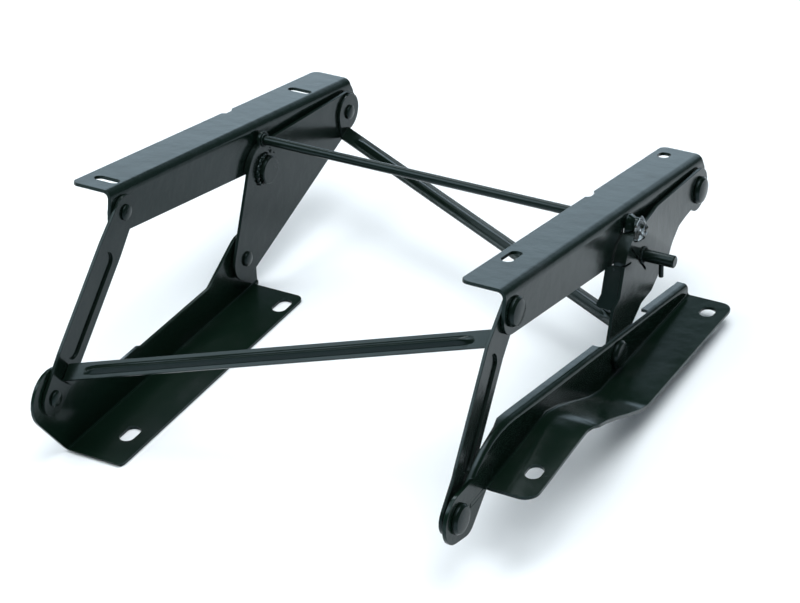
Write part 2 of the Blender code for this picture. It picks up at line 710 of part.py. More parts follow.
def right_floor_rail():
    """Right floor rail: lofted Z section with a front tongue, trimmed and pierced."""
    place = Matrix.Translation((RIGHT_FLOOR_X, 0, 0))
    rail = folded("floor_rail_right", right_floor_stations(), right_floor_section, place)
    tongue = [(FRONT_PIVOT.x, FRONT_PIVOT.y, RIGHT_TONGUE_RADIUS), TONGUE_CHIN, TONGUE_NECK]
    web = Matrix.Translation((RIGHT_FLOOR_X - SHEET - TONGUE_SWELL, 0, 0)) @ SIDE
    cut_prism(rail, "tongue", belt(tongue), SHEET + 2 * TONGUE_SWELL, web, "UNION")
    edge = RIGHT_FLANGE_WIDTH
    reach = RIGHT_TONGUE_RADIUS * 2
    plan = rounded([
        (-RIGHT_LIP_REAR * 2, FRONT_PIVOT.x - reach, 0.0),
        (GAP, FRONT_PIVOT.x - reach, 0.0),
        (GAP, RIGHT_FLANGE_FRONT, 0.0),
        (RIGHT_FLANGE_NARROW, RIGHT_FLANGE_FRONT, RIGHT_CORNER_RADIUS),
        (RIGHT_FLANGE_NARROW, RIGHT_STEP_END - RIGHT_CORNER_RADIUS / 2, RIGHT_CORNER_RADIUS),
        (edge, RIGHT_STEP_END + RIGHT_CORNER_RADIUS / 2, RIGHT_CORNER_RADIUS),
        (edge, RIGHT_RAIL_REAR - SHEET, FLANGE_FRONT_CORNER),
        (-RIGHT_LIP_REAR * 2, RIGHT_RAIL_REAR - SHEET, 0.0),
    ])
    below = Matrix.Translation((RIGHT_FLOOR_X, 0, -SHEET))
    cut_prism(rail, "plan", plan, RIGHT_CREST_Z * 2, below, "INTERSECT")
    clear = [
        (-RIGHT_LIP_REAR * 2, LIP_CUT_FRONT, 0.0),
        (-SHEET - GAP, LIP_CUT_FRONT, SHEET),
        (-SHEET - GAP, LIP_CUT_REAR, SHEET),
        (-RIGHT_LIP_REAR * 2, LIP_CUT_REAR, 0.0),
    ]
    cut_prism(rail, "lip_cut", rounded(clear), RIGHT_CREST_Z * 2, below)
    through = Matrix.Translation((RIGHT_FLOOR_X - SHEET * 2, 0, 0)) @ SIDE
    for index, centre in enumerate((FRONT_PIVOT, REAR_PIVOT)):
        cut_prism(rail, "pivot%d" % index, circle(centre, HOLE_RADIUS), SHEET * 3, through)
    for index, centre in enumerate(RIGHT_FLOOR_SLOTS):
        outline = slot_outline(centre, RIGHT_FLOOR_SLOT_LENGTH, FLOOR_SLOT_WIDTH, 90.0)
        cut_prism(rail, "slot%d" % index, outline, RIGHT_CREST_Z, below)
    return rail


def front_link(name, x):
    """A front link: tapered round ends, pivot holes, a pressed rib and its hollow."""
    tip = FRONT_LINK_TIP
    half = FRONT_LINK_WIDTH / 2
    shoulder = half * 2
    waist = FRONT_LINK_LENGTH - shoulder
    outline = belt([(0, 0, tip), (shoulder, 0, half), (waist, 0, half), (FRONT_LINK_LENGTH, 0, tip),
                    (waist, 0, half), (shoulder, 0, half)])
    frame = side_frame(FRONT_PIVOT, FRONT_ANGLE, x)
    link = prism(name, outline, SHEET, frame)
    through = frame @ Matrix.Translation((0, 0, -SHEET))
    for index, along in enumerate((0.0, FRONT_LINK_LENGTH)):
        cut_prism(link, "pivot%d" % index, circle((along, 0.0), HOLE_RADIUS), SHEET * 3, through)
    middle = ((RIB_START + RIB_END) / 2, 0.0)
    rib = slot_outline(middle, RIB_END - RIB_START, RIB_WIDTH)
    back = frame @ Matrix.Translation((0, 0, -RIB_DEPTH))
    cut_prism(link, "rib", rib, RIB_DEPTH + SHEET / 2, back, "UNION")
    hollow = slot_outline(middle, RIB_END - RIB_START - SHEET, RIB_WIDTH - SHEET)
    front = frame @ Matrix.Translation((0, 0, SHEET - RIB_DEPTH))
    cut_prism(link, "hollow", hollow, RIB_DEPTH * 2, front)
    return link


def front_links():
    """Both front links; the right one steps outward to the floor rail's tongue."""
    left = front_link("front_link_left", LEFT_X + GAP)
    right_x = RIGHT_X - SHEET - GAP - SHEET + FRONT_LINK_JOGGLE
    right = front_link("front_link_right", right_x)
    joggle(right, (1.0, 0.0), FRONT_JOGGLE_START, FRONT_JOGGLE_LENGTH, -FRONT_LINK_JOGGLE)
    return [left, right]


def rear_link_outline(foot_radius):
    """Rear link plate: foot, ear and lobe in one tight outline."""
    return belt([
        (0.0, 0.0, foot_radius),
        (REAR_LINK_LENGTH, 0.0, REAR_EAR_RADIUS),
        (LOBE_CENTRE[0], LOBE_CENTRE[1], LOBE_RADIUS),
    ])


def front_edge():
    """Outside normal of the right rear link's front edge, and its ends on the lobe and the foot."""
    lobe = (LOBE_CENTRE[0], LOBE_CENTRE[1], LOBE_RADIUS)
    return tangent(lobe, (0.0, 0.0, RIGHT_FOOT_RADIUS))


def rear_link(name, x, standoff, foot_radius):
    """A rear link plate with its pivot holes, lobe flange and rod boss."""
    frame = side_frame(REAR_PIVOT, REAR_ANGLE, x)
    link = prism(name, rear_link_outline(foot_radius), SHEET, frame)
    wide = arc(LOBE_CENTRE, LOBE_RADIUS, LOBE_FLANGE_FROM, LOBE_FLANGE_TO)
    narrow = arc(LOBE_CENTRE, LOBE_RADIUS - SHEET, LOBE_FLANGE_TO, LOBE_FLANGE_FROM)
    depth = standoff - 2 * GAP
    back = frame @ Matrix.Translation((0, 0, -depth))
    cut_prism(link, "lobe_flange", wide + narrow, depth + SHEET / 2, back, "UNION")
    span = Vector(ROD_CENTRE) - Vector(LOBE_CENTRE)
    middle = Vector(LOBE_CENTRE) + span / 2
    turn = math.degrees(math.atan2(span.y, span.x))
    boss = slot_outline(middle, span.length + ROD_BOSS_WIDTH, ROD_BOSS_WIDTH, turn)
    cut_prism(link, "rod_boss", boss, SHEET, frame, "UNION")
    through = frame @ Matrix.Translation((0, 0, -SHEET))
    for index, along in enumerate((0.0, REAR_LINK_LENGTH)):
        cut_prism(link, "pivot%d" % index, circle((along, 0.0), HOLE_RADIUS), SHEET * 3, through)
    return link


def stop_point():
    """Where the stop tab starts on the front edge: just below the seat rail's lower edge."""
    out, lobe, foot = front_edge()
    along = (foot - lobe).normalized()
    turn = REAR_ANGLE - RAIL_ANGLE
    origin = Vector(SEAT_REAR_PIVOT) - turned((REAR_LINK_LENGTH, 0.0), turn)
    start = turned(lobe, turn) + origin
    heading_down = turned(along, turn)
    slope = (SEAT_WEB_FRONT - SEAT_WEB_REAR) / SEAT_RAIL_LENGTH
    over = start.y + SEAT_WEB_FRONT - slope * start.x + STOP_GAP
    return lobe + along * (over / (slope * heading_down.x - heading_down.y))


def relief_slit(link, x):
    """Slit from the front edge toward the latch pin, above the stop tab."""
    out, lobe, foot = front_edge()
    along = (foot - lobe).normalized()
    mouth = stop_point() - along * RELIEF_WIDTH
    inward = (Vector(PIN_CENTRE) - mouth).normalized()
    frame = side_frame(REAR_PIVOT, REAR_ANGLE, x - SHEET)
    turn = math.degrees(math.atan2(inward.y, inward.x))
    slit = slot_outline(mouth, RELIEF_LENGTH * 2, RELIEF_WIDTH, turn)
    cut_prism(link, "relief", slit, SHEET * 3, frame)


def stop_tab(link, x):
    """Tab bent inward from the front edge, which stops under the seat rail's web."""
    out, lobe, foot = front_edge()
    along = (foot - lobe).normalized()
    top = stop_point()
    inset = SHEET + TAB_INSET
    place = Matrix((
        (along.x, 0.0, out.x, top.x - out.x * inset),
        (along.y, 0.0, out.y, top.y - out.y * inset),
        (0.0, -1.0, 0.0, SHEET / 2),
        (0.0, 0.0, 0.0, 1.0),
    ))
    outline = rounded([
        (0.0, 0.0, 0.0),
        (STOP_TAB_LENGTH, 0.0, 0.0),
        (STOP_TAB_LENGTH, STOP_TAB_REACH, STOP_TAB_CORNER),
        (0.0, STOP_TAB_REACH, STOP_TAB_CORNER),
    ])
    frame = side_frame(REAR_PIVOT, REAR_ANGLE, x) @ place
    cut_prism(link, "stop_tab", outline, SHEET, frame, "UNION")


def waist(link, x):
    """Hollow rear edge of the right rear link, between its foot and its ear."""
    outside = -3 * REAR_FOOT_RADIUS
    near = (0.0, -RIGHT_FOOT_RADIUS)
    ear = arc((REAR_LINK_LENGTH, 0.0), REAR_EAR_RADIUS - EAR_SHAVE, 285, 200)
    corners = [(near[0], outside, 0.0), (ear[0][0], outside, 0.0)]
    corners += [(*point, 0.0) for point in ear]
    corners += [(*WAIST[3], 0.0), (*WAIST[2], WAIST_RADIUS), (*WAIST[1], WAIST_RADIUS)]
    corners += [(*WAIST[0], WAIST_RADIUS / 3), (*near, 0.0)]
    frame = side_frame(REAR_PIVOT, REAR_ANGLE, x - SHEET)
    cut_prism(link, "waist", rounded(corners), SHEET * 3, frame)


def lobe_slit(link, x):
    """Narrow slit that frees the lobe's flange, beside the latch pin."""
    top = Vector(SLIT_TOP)
    foot = Vector(SLIT_FOOT)
    span = foot - top
    frame = side_frame(REAR_PIVOT, REAR_ANGLE, x - SHEET)
    turn = math.degrees(math.atan2(span.y, span.x))
    slit = slot_outline((top + foot) / 2, span.length, SLIT_WIDTH, turn)
    cut_prism(link, "slit", slit, SHEET * 3, frame)


def rear_links():
    """Both rear links; the right one stands off, has a stop tab and steps at its foot and ear."""
    left = rear_link("rear_link_left", LEFT_X + LEFT_STANDOFF, LEFT_STANDOFF, REAR_FOOT_RADIUS)
    right_x = RIGHT_X + RIGHT_STANDOFF
    right = rear_link("rear_link_right", right_x, RIGHT_STANDOFF, RIGHT_FOOT_RADIUS)
    waist(right, right_x)
    rod_hole = side_frame(REAR_PIVOT, REAR_ANGLE, right_x - SHEET)
    cut_prism(right, "rod_hole", circle(ROD_CENTRE, ROD_RADIUS + GAP), SHEET * 3, rod_hole)
    stop_tab(right, right_x)
    relief_slit(right, right_x)
    lobe_slit(right, right_x)
    lean = math.radians(REAR_JOGGLE_ANGLE)
    direction = (math.cos(lean), math.sin(lean))
    joggle(right, direction, REAR_JOGGLE_START, REAR_JOGGLE_LENGTH, REAR_JOGGLE_DEPTH)
    lean = math.radians(EAR_JOGGLE_ANGLE)
    direction = (math.cos(lean), math.sin(lean))
    step = RIGHT_EAR_STANDOFF - RIGHT_STANDOFF
    joggle(right, direction, EAR_JOGGLE_START, EAR_JOGGLE_LENGTH, step)
    for vertex in right.data.vertices:
        vertex.co.z -= REAR_JOGGLE_DEPTH
    return [left, right]


def rod_world():
    """World (y, z) of the cross rod."""
    return REAR_PIVOT + turned(ROD_CENTRE, REAR_ANGLE)


def cross_rod():
    """Round rod across both rear links."""
    start = LEFT_X + LEFT_STANDOFF + SHEET + GAP
    end = RIGHT_X + RIGHT_STANDOFF + SHEET + ROD_OVERHANG
    edge = ROD_RADIUS / 5
    profile = [
        (0.0, end - start),
        (ROD_RADIUS - edge, end - start),
        (ROD_RADIUS, end - start - edge),
        (ROD_RADIUS, edge),
        (ROD_RADIUS - edge, 0.0),
        (0.0, 0.0),
    ]
    round_piece("cross_rod", profile, start, rod_world())
    weld_ring("rod_weld_left", start - GAP, rod_world(), ROD_RADIUS, WELD_THROAT)
    weld_ring("rod_weld_right", end - ROD_OVERHANG, rod_world(), ROD_RADIUS, WELD_THROAT)


def weld_ring(name, x, centre, radius, throat):
    """A weld fillet round a pin, on a plate face that looks to +X."""
    low = radius + GAP
    profile = [
        (low, throat),
        (low + throat * 0.45, throat * 0.85),
        (low + throat * 0.85, throat * 0.45),
        (low + throat, GAP),
        (low, GAP),
    ]
    return round_piece(name, profile, x, centre)


def rivet(name, centre, head_x, tail_x):
    """A rivet on an axis along X, from the face under its head to the face under its tail."""
    out = 1.0 if head_x > tail_x else -1.0
    head = GAP
    grip = abs(head_x - tail_x)
    tail = grip + GAP
    profile = [
        (0.0, head + HEAD_HEIGHT),
        (HEAD_RADIUS * 0.55, head + HEAD_HEIGHT * 0.97),
        (HEAD_RADIUS * 0.86, head + HEAD_HEIGHT * 0.80),
        (HEAD_RADIUS, head + HEAD_HEIGHT * 0.40),
        (HEAD_RADIUS, head),
        (SHANK_RADIUS, head),
        (SHANK_RADIUS, -tail),
        (TAIL_RADIUS, -tail),
        (TAIL_RADIUS, -tail - TAIL_HEIGHT * 0.45),
        (TAIL_RADIUS * 0.75, -tail - TAIL_HEIGHT * 0.90),
        (0.0, -tail - TAIL_HEIGHT),
    ]
    if out < 0:
        profile = [(radius, -height) for radius, height in reversed(profile)]
    return round_piece(name, profile, head_x, centre)


def washer(name, centre, low_x, high_x):
    """A flat spacer between two faces, clear of the rivet's shank."""
    low = GAP
    high = high_x - low_x - GAP
    profile = [(HOLE_RADIUS, high), (WASHER_RADIUS, high), (WASHER_RADIUS, low), (HOLE_RADIUS, low)]
    return round_piece(name, profile, low_x, centre)


def strip_section(rib):
    """Half-wave rib across a brace strip, as (across, height) points."""
    half = BRACE_WIDTH / 2
    side = BRACE_RIB_WIDTH / 2
    points = [(-half, 0.0), (-side, 0.0)]
    for step in range(1, 6):
        across = -side + BRACE_RIB_WIDTH * step / 6
        points.append((across, rib * 0.5 * (1 + math.cos(math.pi * across / side))))
    return points + [(side, 0.0), (half, 0.0)]


def brace(name, start, end, normal, tabs):
    """A pressed strip between two faces that look along X, its rib toward the given normal.

    The strip's ends are cut flush with both faces, and a bent tab lies on each."""
    ahead = (end - start).normalized()
    across = normal.cross(ahead).normalized()
    face = ahead.cross(across).normalized()
    first = start - ahead * BRACE_WIDTH
    length = (end - start).length + 2 * BRACE_WIDTH
    flat = BRACE_WIDTH + BRACE_FLAT
    path = [(0.0, 0.0)]
    for step in range(5):
        share = step / 4
        path.append((flat + BRACE_RUNOUT * share, BRACE_RIB_HEIGHT * blend(share)))
    path += [(length - along, rib) for along, rib in reversed(path)]
    builder = bmesh.new()
    rows = []
    for along, rib in path:
        row = []
        for side, height in strip_section(rib):
            row.append(builder.verts.new(first + ahead * along + across * side + face * height))
        rows.append(row)
    for low, high in zip(rows, rows[1:]):
        for index in range(len(low) - 1):
            builder.faces.new((low[index], low[index + 1], high[index + 1], high[index]))
    thing = add_object(name, mesh_from(builder, name), Matrix.Identity(4))
    wall = thing.modifiers.new("Sheet", "SOLIDIFY")
    wall.thickness = BRACE_SHEET
    wall.offset = 0.0
    reach = SEAT_RAIL_LENGTH
    room = [(-reach, -reach), (reach, -reach), (reach, reach), (-reach, reach)]
    inset = BRACE_SHEET / 4
    slab = Matrix.Translation((start.x + inset, 0, 0)) @ SIDE
    cut_prism(thing, "ends", room, end.x - start.x - 2 * inset, slab, "INTERSECT")
    for label, outline, frame in tabs:
        cut_prism(thing, label, outline, BRACE_SHEET, frame, "UNION")
    return thing


def tab_outline(centre, side):
    """A tab folded off a strip's end: one straight edge on the strip and two round corners."""
    half = BRACE_WIDTH / 2
    root = centre[1] - side * BRACE_SHEET / 3
    tip = centre[1] + side * BRACE_TAB_HEIGHT
    corners = [
        (centre[0] - half, root, 0.0),
        (centre[0] + half, root, 0.0),
        (centre[0] + half, tip, BRACE_WIDTH / 3),
        (centre[0] - half, tip, BRACE_WIDTH / 3),
    ]
    return rounded(corners if side > 0 else corners[::-1])


def front_brace():
    """Diagonal strip from the left front link's foot to the right front link's head."""
    left = LEFT_X + GAP + SHEET + GAP
    right = RIGHT_X - SHEET - GAP - SHEET - GAP
    low = FRONT_PIVOT + turned((FRONT_BRACE_LOW, 0.0), FRONT_ANGLE)
    high = FRONT_PIVOT + turned((FRONT_BRACE_HIGH, 0.0), FRONT_ANGLE)
    up = turned((0.0, 1.0), FRONT_ANGLE)
    left_frame = side_frame(FRONT_PIVOT, FRONT_ANGLE, left)
    right_frame = side_frame(FRONT_PIVOT, FRONT_ANGLE, right - BRACE_SHEET)
    tabs = (
        ("left_tab", tab_outline((FRONT_BRACE_LOW, 0.0), -1), left_frame),
        ("right_tab", tab_outline((FRONT_BRACE_HIGH, 0.0), -1), right_frame),
    )
    start = Vector((left, low.x, low.y))
    end = Vector((right, high.x, high.y))
    return brace("front_brace", start, end, Vector((0.0, up.x, up.y)), tabs)


def rear_brace():
    """Diagonal strip from the left rear link's ear, under its rivet, to the right link's foot."""
    left = LEFT_X + LEFT_STANDOFF + SHEET + GAP
    right = RIGHT_X + RIGHT_STANDOFF - REAR_JOGGLE_DEPTH - GAP
    ear = REAR_PIVOT + turned(REAR_BRACE_EAR, REAR_ANGLE)
    foot = REAR_PIVOT + turned(REAR_BRACE_FOOT, REAR_ANGLE)
    up = turned((0.0, 1.0), REAR_ANGLE)
    left_frame = side_frame(REAR_PIVOT, REAR_ANGLE, left)
    right_frame = side_frame(REAR_PIVOT, REAR_ANGLE, right - BRACE_SHEET)
    half = BRACE_WIDTH / 2
    root = REAR_BRACE_EAR[1] - BRACE_SHEET / 2
    edge = BRACE_SHEET / 4
    lug = belt([
        (REAR_BRACE_EAR[0] - half + edge, root + edge, edge),
        (REAR_LINK_LENGTH, 0.0, EAR_TAB_RADIUS),
    ])
    tabs = (
        ("ear_tab", lug, left_frame),
        ("foot_tab", tab_outline(REAR_BRACE_FOOT, 1), right_frame),
    )
    start = Vector((left, ear.x, ear.y))
    end = Vector((right, foot.x, foot.y))
    strip = brace("rear_brace", start, end, Vector((0.0, up.x, up.y)), tabs)
    through = left_frame @ Matrix.Translation((0, 0, -SHEET))
    cut_prism(strip, "pivot", circle((REAR_LINK_LENGTH, 0.0), HOLE_RADIUS), SHEET * 4, through)
    return strip


def rivets():
    """Eight rivets, the washers and the bush that keep the rear links off their rails."""
    front_link_face = LEFT_X + GAP + SHEET
    right_link_face = RIGHT_X - SHEET - GAP - SHEET
    outer_plate = RIGHT_X + RIGHT_EAR_STANDOFF + SHEET
    foot_face = RIGHT_X + RIGHT_STANDOFF - REAR_JOGGLE_DEPTH
    left_plate = LEFT_X + LEFT_STANDOFF
    right_foot = right_link_face + FRONT_LINK_JOGGLE
    pieces = [
        rivet("front_lower_rivet_left", FRONT_PIVOT, LEFT_X - SHEET, front_link_face),
        rivet("front_upper_rivet_left", FRONT_TOP, LEFT_X - SHEET, front_link_face),
        rivet("rear_lower_rivet_left", REAR_PIVOT, LEFT_X - SHEET, left_plate + SHEET),
        rivet("rear_upper_rivet_left", REAR_TOP, LEFT_X - SHEET, left_plate + SHEET + GAP + BRACE_SHEET),
        rivet("front_lower_rivet_right", FRONT_PIVOT, RIGHT_FLOOR_X, right_foot),
        rivet("front_upper_rivet_right", FRONT_TOP, RIGHT_X, right_link_face),
        rivet("rear_lower_rivet_right", REAR_PIVOT, RIGHT_FLOOR_X, foot_face),
        rivet("rear_upper_rivet_right", REAR_TOP, outer_plate, RIGHT_X - SHEET),
        washer("front_lower_washer_right", FRONT_PIVOT, right_foot + SHEET, RIGHT_FLOOR_X - SHEET),
        washer("rear_lower_washer_left", REAR_PIVOT, LEFT_X, left_plate),
        washer("rear_upper_washer_left", REAR_TOP, LEFT_X, left_plate),
        washer("rear_upper_bush_right", REAR_TOP, RIGHT_X, RIGHT_X + RIGHT_EAR_STANDOFF),
    ]
    return pieces


def latch():
    """Latch pin with its cross peg on the right rear link, and the boss on the left one."""
    centre = REAR_PIVOT + turned(PIN_CENTRE, REAR_ANGLE)
    outer = RIGHT_X + RIGHT_STANDOFF + SHEET + GAP
    edge = PIN_RADIUS / 6
    pin = [
        (0.0, PIN_LENGTH),
        (PIN_RADIUS - edge, PIN_LENGTH),
        (PIN_RADIUS, PIN_LENGTH - edge),
        (PIN_RADIUS, 0.0),
        (0.0, 0.0),
    ]
    boss = [
        (0.0, BOSS_HEIGHT),
        (BOSS_RADIUS - edge, BOSS_HEIGHT),
        (BOSS_RADIUS, BOSS_HEIGHT - edge),
        (BOSS_RADIUS, 0.0),
        (0.0, 0.0),
    ]
    round_piece("latch_pin_right", pin, outer, centre)
    left_centre = REAR_PIVOT + turned(BOSS_CENTRE, REAR_ANGLE)
    round_piece("latch_boss_left", boss, LEFT_X + LEFT_STANDOFF + SHEET + GAP, left_centre)
    weld_ring("pin_weld", outer - GAP, centre, PIN_RADIUS, WELD_THROAT / 2)
    peg_x = outer + PIN_LENGTH - PEG_FROM_END
    profile = [(0.0, -GAP), (PEG_RADIUS, -GAP), (PEG_RADIUS, -PEG_LENGTH), (0.0, -PEG_LENGTH)]
    peg = round_piece("cross_peg", profile, 0.0, (0.0, 0.0))
    peg.matrix_world = Matrix.Translation((peg_x, centre.x, centre.y - PIN_RADIUS))


def body_pivot(name, centre, members):
    """An empty on a hinge's axis that carries the pieces which turn about it."""
    pivot = bpy.data.objects.new(name, None)
    PARTS.objects.link(pivot)
    pivot.empty_display_size = HEAD_RADIUS
    pivot.location = (0.0, centre[0], centre[1])
    bpy.context.view_layer.update()
    for member in members:
        piece = bpy.data.objects[member]
        piece.parent = pivot
        piece.matrix_parent_inverse = pivot.matrix_world.inverted()


def main():
    """Build every piece at the linkage's down stop, and hang the moving ones on their pivots."""
    seat_rails()
    left_floor_rail()
    right_floor_rail()
    front_links()
    rear_links()
    cross_rod()
    front_brace()
    rear_brace()
    rivets()
    latch()
    body_pivot("front_links_pivot", FRONT_PIVOT, FRONT_LINK_BODY)
    body_pivot("rear_links_pivot", REAR_PIVOT, REAR_LINK_BODY)
    body_pivot("seat_rails_pivot", REAR_TOP, SEAT_RAIL_BODY)


if __name__ == "__main__":
    main()
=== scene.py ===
"""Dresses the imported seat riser: gloss black paint, softened edges, weld beads and a studio."""

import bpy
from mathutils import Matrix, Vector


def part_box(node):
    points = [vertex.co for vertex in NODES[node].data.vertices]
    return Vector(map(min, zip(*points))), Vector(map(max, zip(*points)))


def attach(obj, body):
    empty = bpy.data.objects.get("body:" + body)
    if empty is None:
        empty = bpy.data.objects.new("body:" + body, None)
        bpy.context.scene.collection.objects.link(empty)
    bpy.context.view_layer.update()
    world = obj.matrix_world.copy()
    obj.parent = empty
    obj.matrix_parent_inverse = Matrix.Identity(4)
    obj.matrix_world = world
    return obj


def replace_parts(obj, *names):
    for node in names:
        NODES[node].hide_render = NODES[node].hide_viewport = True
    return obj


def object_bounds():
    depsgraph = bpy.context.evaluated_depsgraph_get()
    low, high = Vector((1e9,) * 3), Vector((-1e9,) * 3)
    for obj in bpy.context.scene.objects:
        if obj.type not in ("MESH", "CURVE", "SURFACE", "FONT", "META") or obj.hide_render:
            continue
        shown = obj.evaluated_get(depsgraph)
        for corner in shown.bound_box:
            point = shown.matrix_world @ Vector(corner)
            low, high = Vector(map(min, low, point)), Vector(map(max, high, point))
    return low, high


bl_info = {
    "name": "Seat riser dresser",
    "version": (1, 0, 0),
    "blender": (4, 5, 0),
    "location": "3D View > Sidebar > Seat riser",
    "description": "Finishes the packed seat riser with paint, soft edges, weld beads and a studio",
    "category": "Object",
}

import bpy
import numpy as np
from mathutils import Matrix, Vector

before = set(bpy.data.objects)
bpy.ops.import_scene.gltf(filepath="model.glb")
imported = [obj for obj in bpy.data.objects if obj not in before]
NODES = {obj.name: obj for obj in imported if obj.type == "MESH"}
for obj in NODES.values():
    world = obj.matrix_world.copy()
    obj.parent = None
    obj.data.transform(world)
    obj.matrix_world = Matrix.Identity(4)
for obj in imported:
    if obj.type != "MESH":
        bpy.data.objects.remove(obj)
CAD_BOX = [list(corner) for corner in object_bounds()]

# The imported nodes, in groups that share a paint and an edge.
SEAT_RAILS = ("seat_rail_left", "seat_rail_right")
FLOOR_RAILS = ("floor_rail_left", "floor_rail_right")
LINKS = ("front_link_left", "front_link_right", "rear_link_left", "rear_link_right")
BRACES = ("front_brace", "rear_brace", "cross_rod")
RIVETS = tuple(f"{end}_{level}_rivet_{side}" for end in ("front", "rear")
               for level in ("lower", "upper") for side in ("left", "right"))
SPACERS = ("front_lower_washer_right", "rear_lower_washer_left",
           "rear_upper_washer_left", "rear_upper_bush_right")
LATCH = ("latch_boss_left", "latch_pin_right", "cross_peg")

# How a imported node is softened: lengths in metres and angles in radians.
MERGE_DISTANCE = 0.000004
FLAT_ANGLE = 0.004
EDGE_ANGLE = 0.60
EDGE_SEGMENTS = 2

# The paint's patterns, in features per metre.
HAZE_GRAIN = 22.0
WIPE_GRAIN = (60.0, 9.0, 60.0)
SPECK_GRAIN = 900.0
GLOSS_GRAIN = 130.0
PEEL_GRAIN = 420.0
METAL_GRAIN = 65.0

# How strongly those patterns show. The metal's waves are that many times the peel's depth.
SHEET_HAZE, BRACE_HAZE, FASTENER_HAZE, WELD_HAZE = 0.5, 0.35, 0.4, 0.2
SPECK_SHARE = 0.20
SPECK_COLOUR = (0.06, 0.07, 0.07)
HAZE_ROUGHER = 0.16
FASTENER_ROUGHER = 0.04
GLOSS_SPREAD = 0.05
METAL_DEPTH = 6.0

# The skin of the paint and of the weld.
PAINT_IOR = 1.42
PAINT_SPECULAR, WELD_SPECULAR = 0.27, 0.5
PAINT_SPECULAR_TINT = (0.66, 0.88, 1.0)

# Weld metal: its patterns in features per metre, its colours, how metallic and how rough it
# is, and the depth of its scale in metres.
CREST_GRAIN, STAIN_GRAIN, SCALE_GRAIN = 300.0, 260.0, 900.0
STAINED_METAL, CLEAN_METAL = (0.13, 0.16, 0.18), (0.38, 0.43, 0.46)
CREST_METALLIC = 0.8
HOLLOW_ROUGHNESS, CREST_ROUGHER = 0.16, 0.12
SCALE_DEPTH = 0.0002

# Where the right side's welds lie, in metres: two shifts from the root of the rod's weld, and
# the mouth of the rear link's relief slit. The fold there leans from the vertical, in radians.
# The second shift places a black bead round the rod at the web, which also plugs the rod's slot
# there: a dark plug of painted shade where the slot lies only in shadow.
ROD_END_SHIFT = (-0.0003, -0.0012, -0.0018)
ROD_SEAT_PLUG_SHIFT = (-0.0088, 0.0, 0.0)
FOLD_MOUTH = (0.2748, 0.1120, 0.1004)
FOLD_LEAN = 0.17

# Beads all the way round: node, piece, radius, width, height, ripples and seed.
RING_WELDS = (("rod_weld_left", "rod_root_weld", 0.0038, 0.0015, 0.0011, 11, 1),
              ("pin_weld", "pin_root_weld", 0.0048, 0.0016, 0.0012, 15, 2))

# The bead round part of the left boss, in degrees and metres, and the spatter beside it: how many
# drops, between which angles, how many boss radii out and how large.
BOSS_BEAD = (62.0, 248.0)
BOSS_GAP = 0.0002
SPATTER_DROPS = 9
SPATTER_ANGLES = (20.0, 120.0)
SPATTER_REACH = (1.12, 1.55)
SPATTER_SIZES = (0.0004, 0.0010)
SPATTER_RISE = 0.8

# The floor's points along a side, how far it lies under the object, in metres, and the share
# of its colour that is left where it is darkest.
FLOOR_POINTS = 25
FLOOR_GAP = 0.0002
FLOOR_SHADE = 0.99

# The share of the wall's brightness that is left at each height, side and depth of the direction
# looked in, as stops from 0 to 1.
WALL_BY_HEIGHT = ((0.0, 1.0), (0.24, 1.0), (0.34, 0.50), (0.44, 0.16), (0.55, 0.03), (1.0, 0.03))
WALL_BY_SIDE = ((0.0, 1.0), (0.05, 1.0), (0.30, 0.08), (1.0, 0.08))
WALL_BY_DEPTH = ((0.0, 0.18), (0.10, 0.22), (0.50, 1.0), (1.0, 1.0))
WHITE = (1.0, 1.0, 1.0)

# The lights, all turned to one point: name, place, the setting that holds the power, and side.
LIGHT_AIM = (0.12, 0.05, 0.06)
GLOSS_PANEL = "gloss panel"
LIGHTS = (("overhead", (0.50, 0.15, 2.3), "overhead_power", 1.3),
          ("ceiling", (0.4, -0.1, 4.0), "ceiling_power", 4.5),
          ("front card", (-0.72, -0.93, 1.58), "card_power", 0.9),
          ("left card", (-1.63, -0.80, 0.79), "card_power", 1.0),
          (GLOSS_PANEL, (-0.75, 1.35, 2.0), "card_power", 0.8))

# The camera fitted to the photograph: its lens in the image's pixels, its place in metres.
IMAGE_WIDTH, IMAGE_HEIGHT = 800, 603
LENS_PIXELS = 2422.4
LENS_CENTRE = (397.9, 309.5)
SENSOR_WIDTH = 36.0
CAMERA_PLACE = (0.8614, -1.2246, 0.9602)
CAMERA_RIGHT = (0.8768, 0.4799, -0.0309)
CAMERA_AHEAD = (-0.4233, 0.7398, -0.5229)
CAMERA_CLIP = (0.05, 60.0)


class PaintSettings(bpy.types.PropertyGroup):
    """Colour and gloss of the baked black paint."""

    seat_tint: bpy.props.FloatVectorProperty(
        name="Seat rail black", description="Paint colour of the two upper rails",
        default=(0.0040, 0.0100, 0.0075), size=3, subtype="COLOR", min=0.0, max=1.0)
    floor_tint: bpy.props.FloatVectorProperty(
        name="Floor rail black", description="Paint colour of the two lower rails",
        default=(0.0032, 0.0098, 0.0062), size=3, subtype="COLOR", min=0.0, max=1.0)
    link_tint: bpy.props.FloatVectorProperty(
        name="Link black", description="Paint colour of the links, braces, rod and fasteners",
        default=(0.0040, 0.0088, 0.0066), size=3, subtype="COLOR", min=0.0, max=1.0)
    haze_tint: bpy.props.FloatVectorProperty(
        name="Handling haze", description="Colour of the faint haze left by handling",
        default=(0.016, 0.020, 0.020), size=3, subtype="COLOR", min=0.0, max=1.0)
    roughness: bpy.props.FloatProperty(
        name="Gloss roughness", description="Roughness of clean paint", default=0.20,
        min=0.0, max=1.0, subtype="FACTOR")
    peel: bpy.props.FloatProperty(
        name="Orange peel", description="Depth of the ripple that baked paint dries with",
        default=0.00004, min=0.0, max=0.001, precision=6, unit="LENGTH")


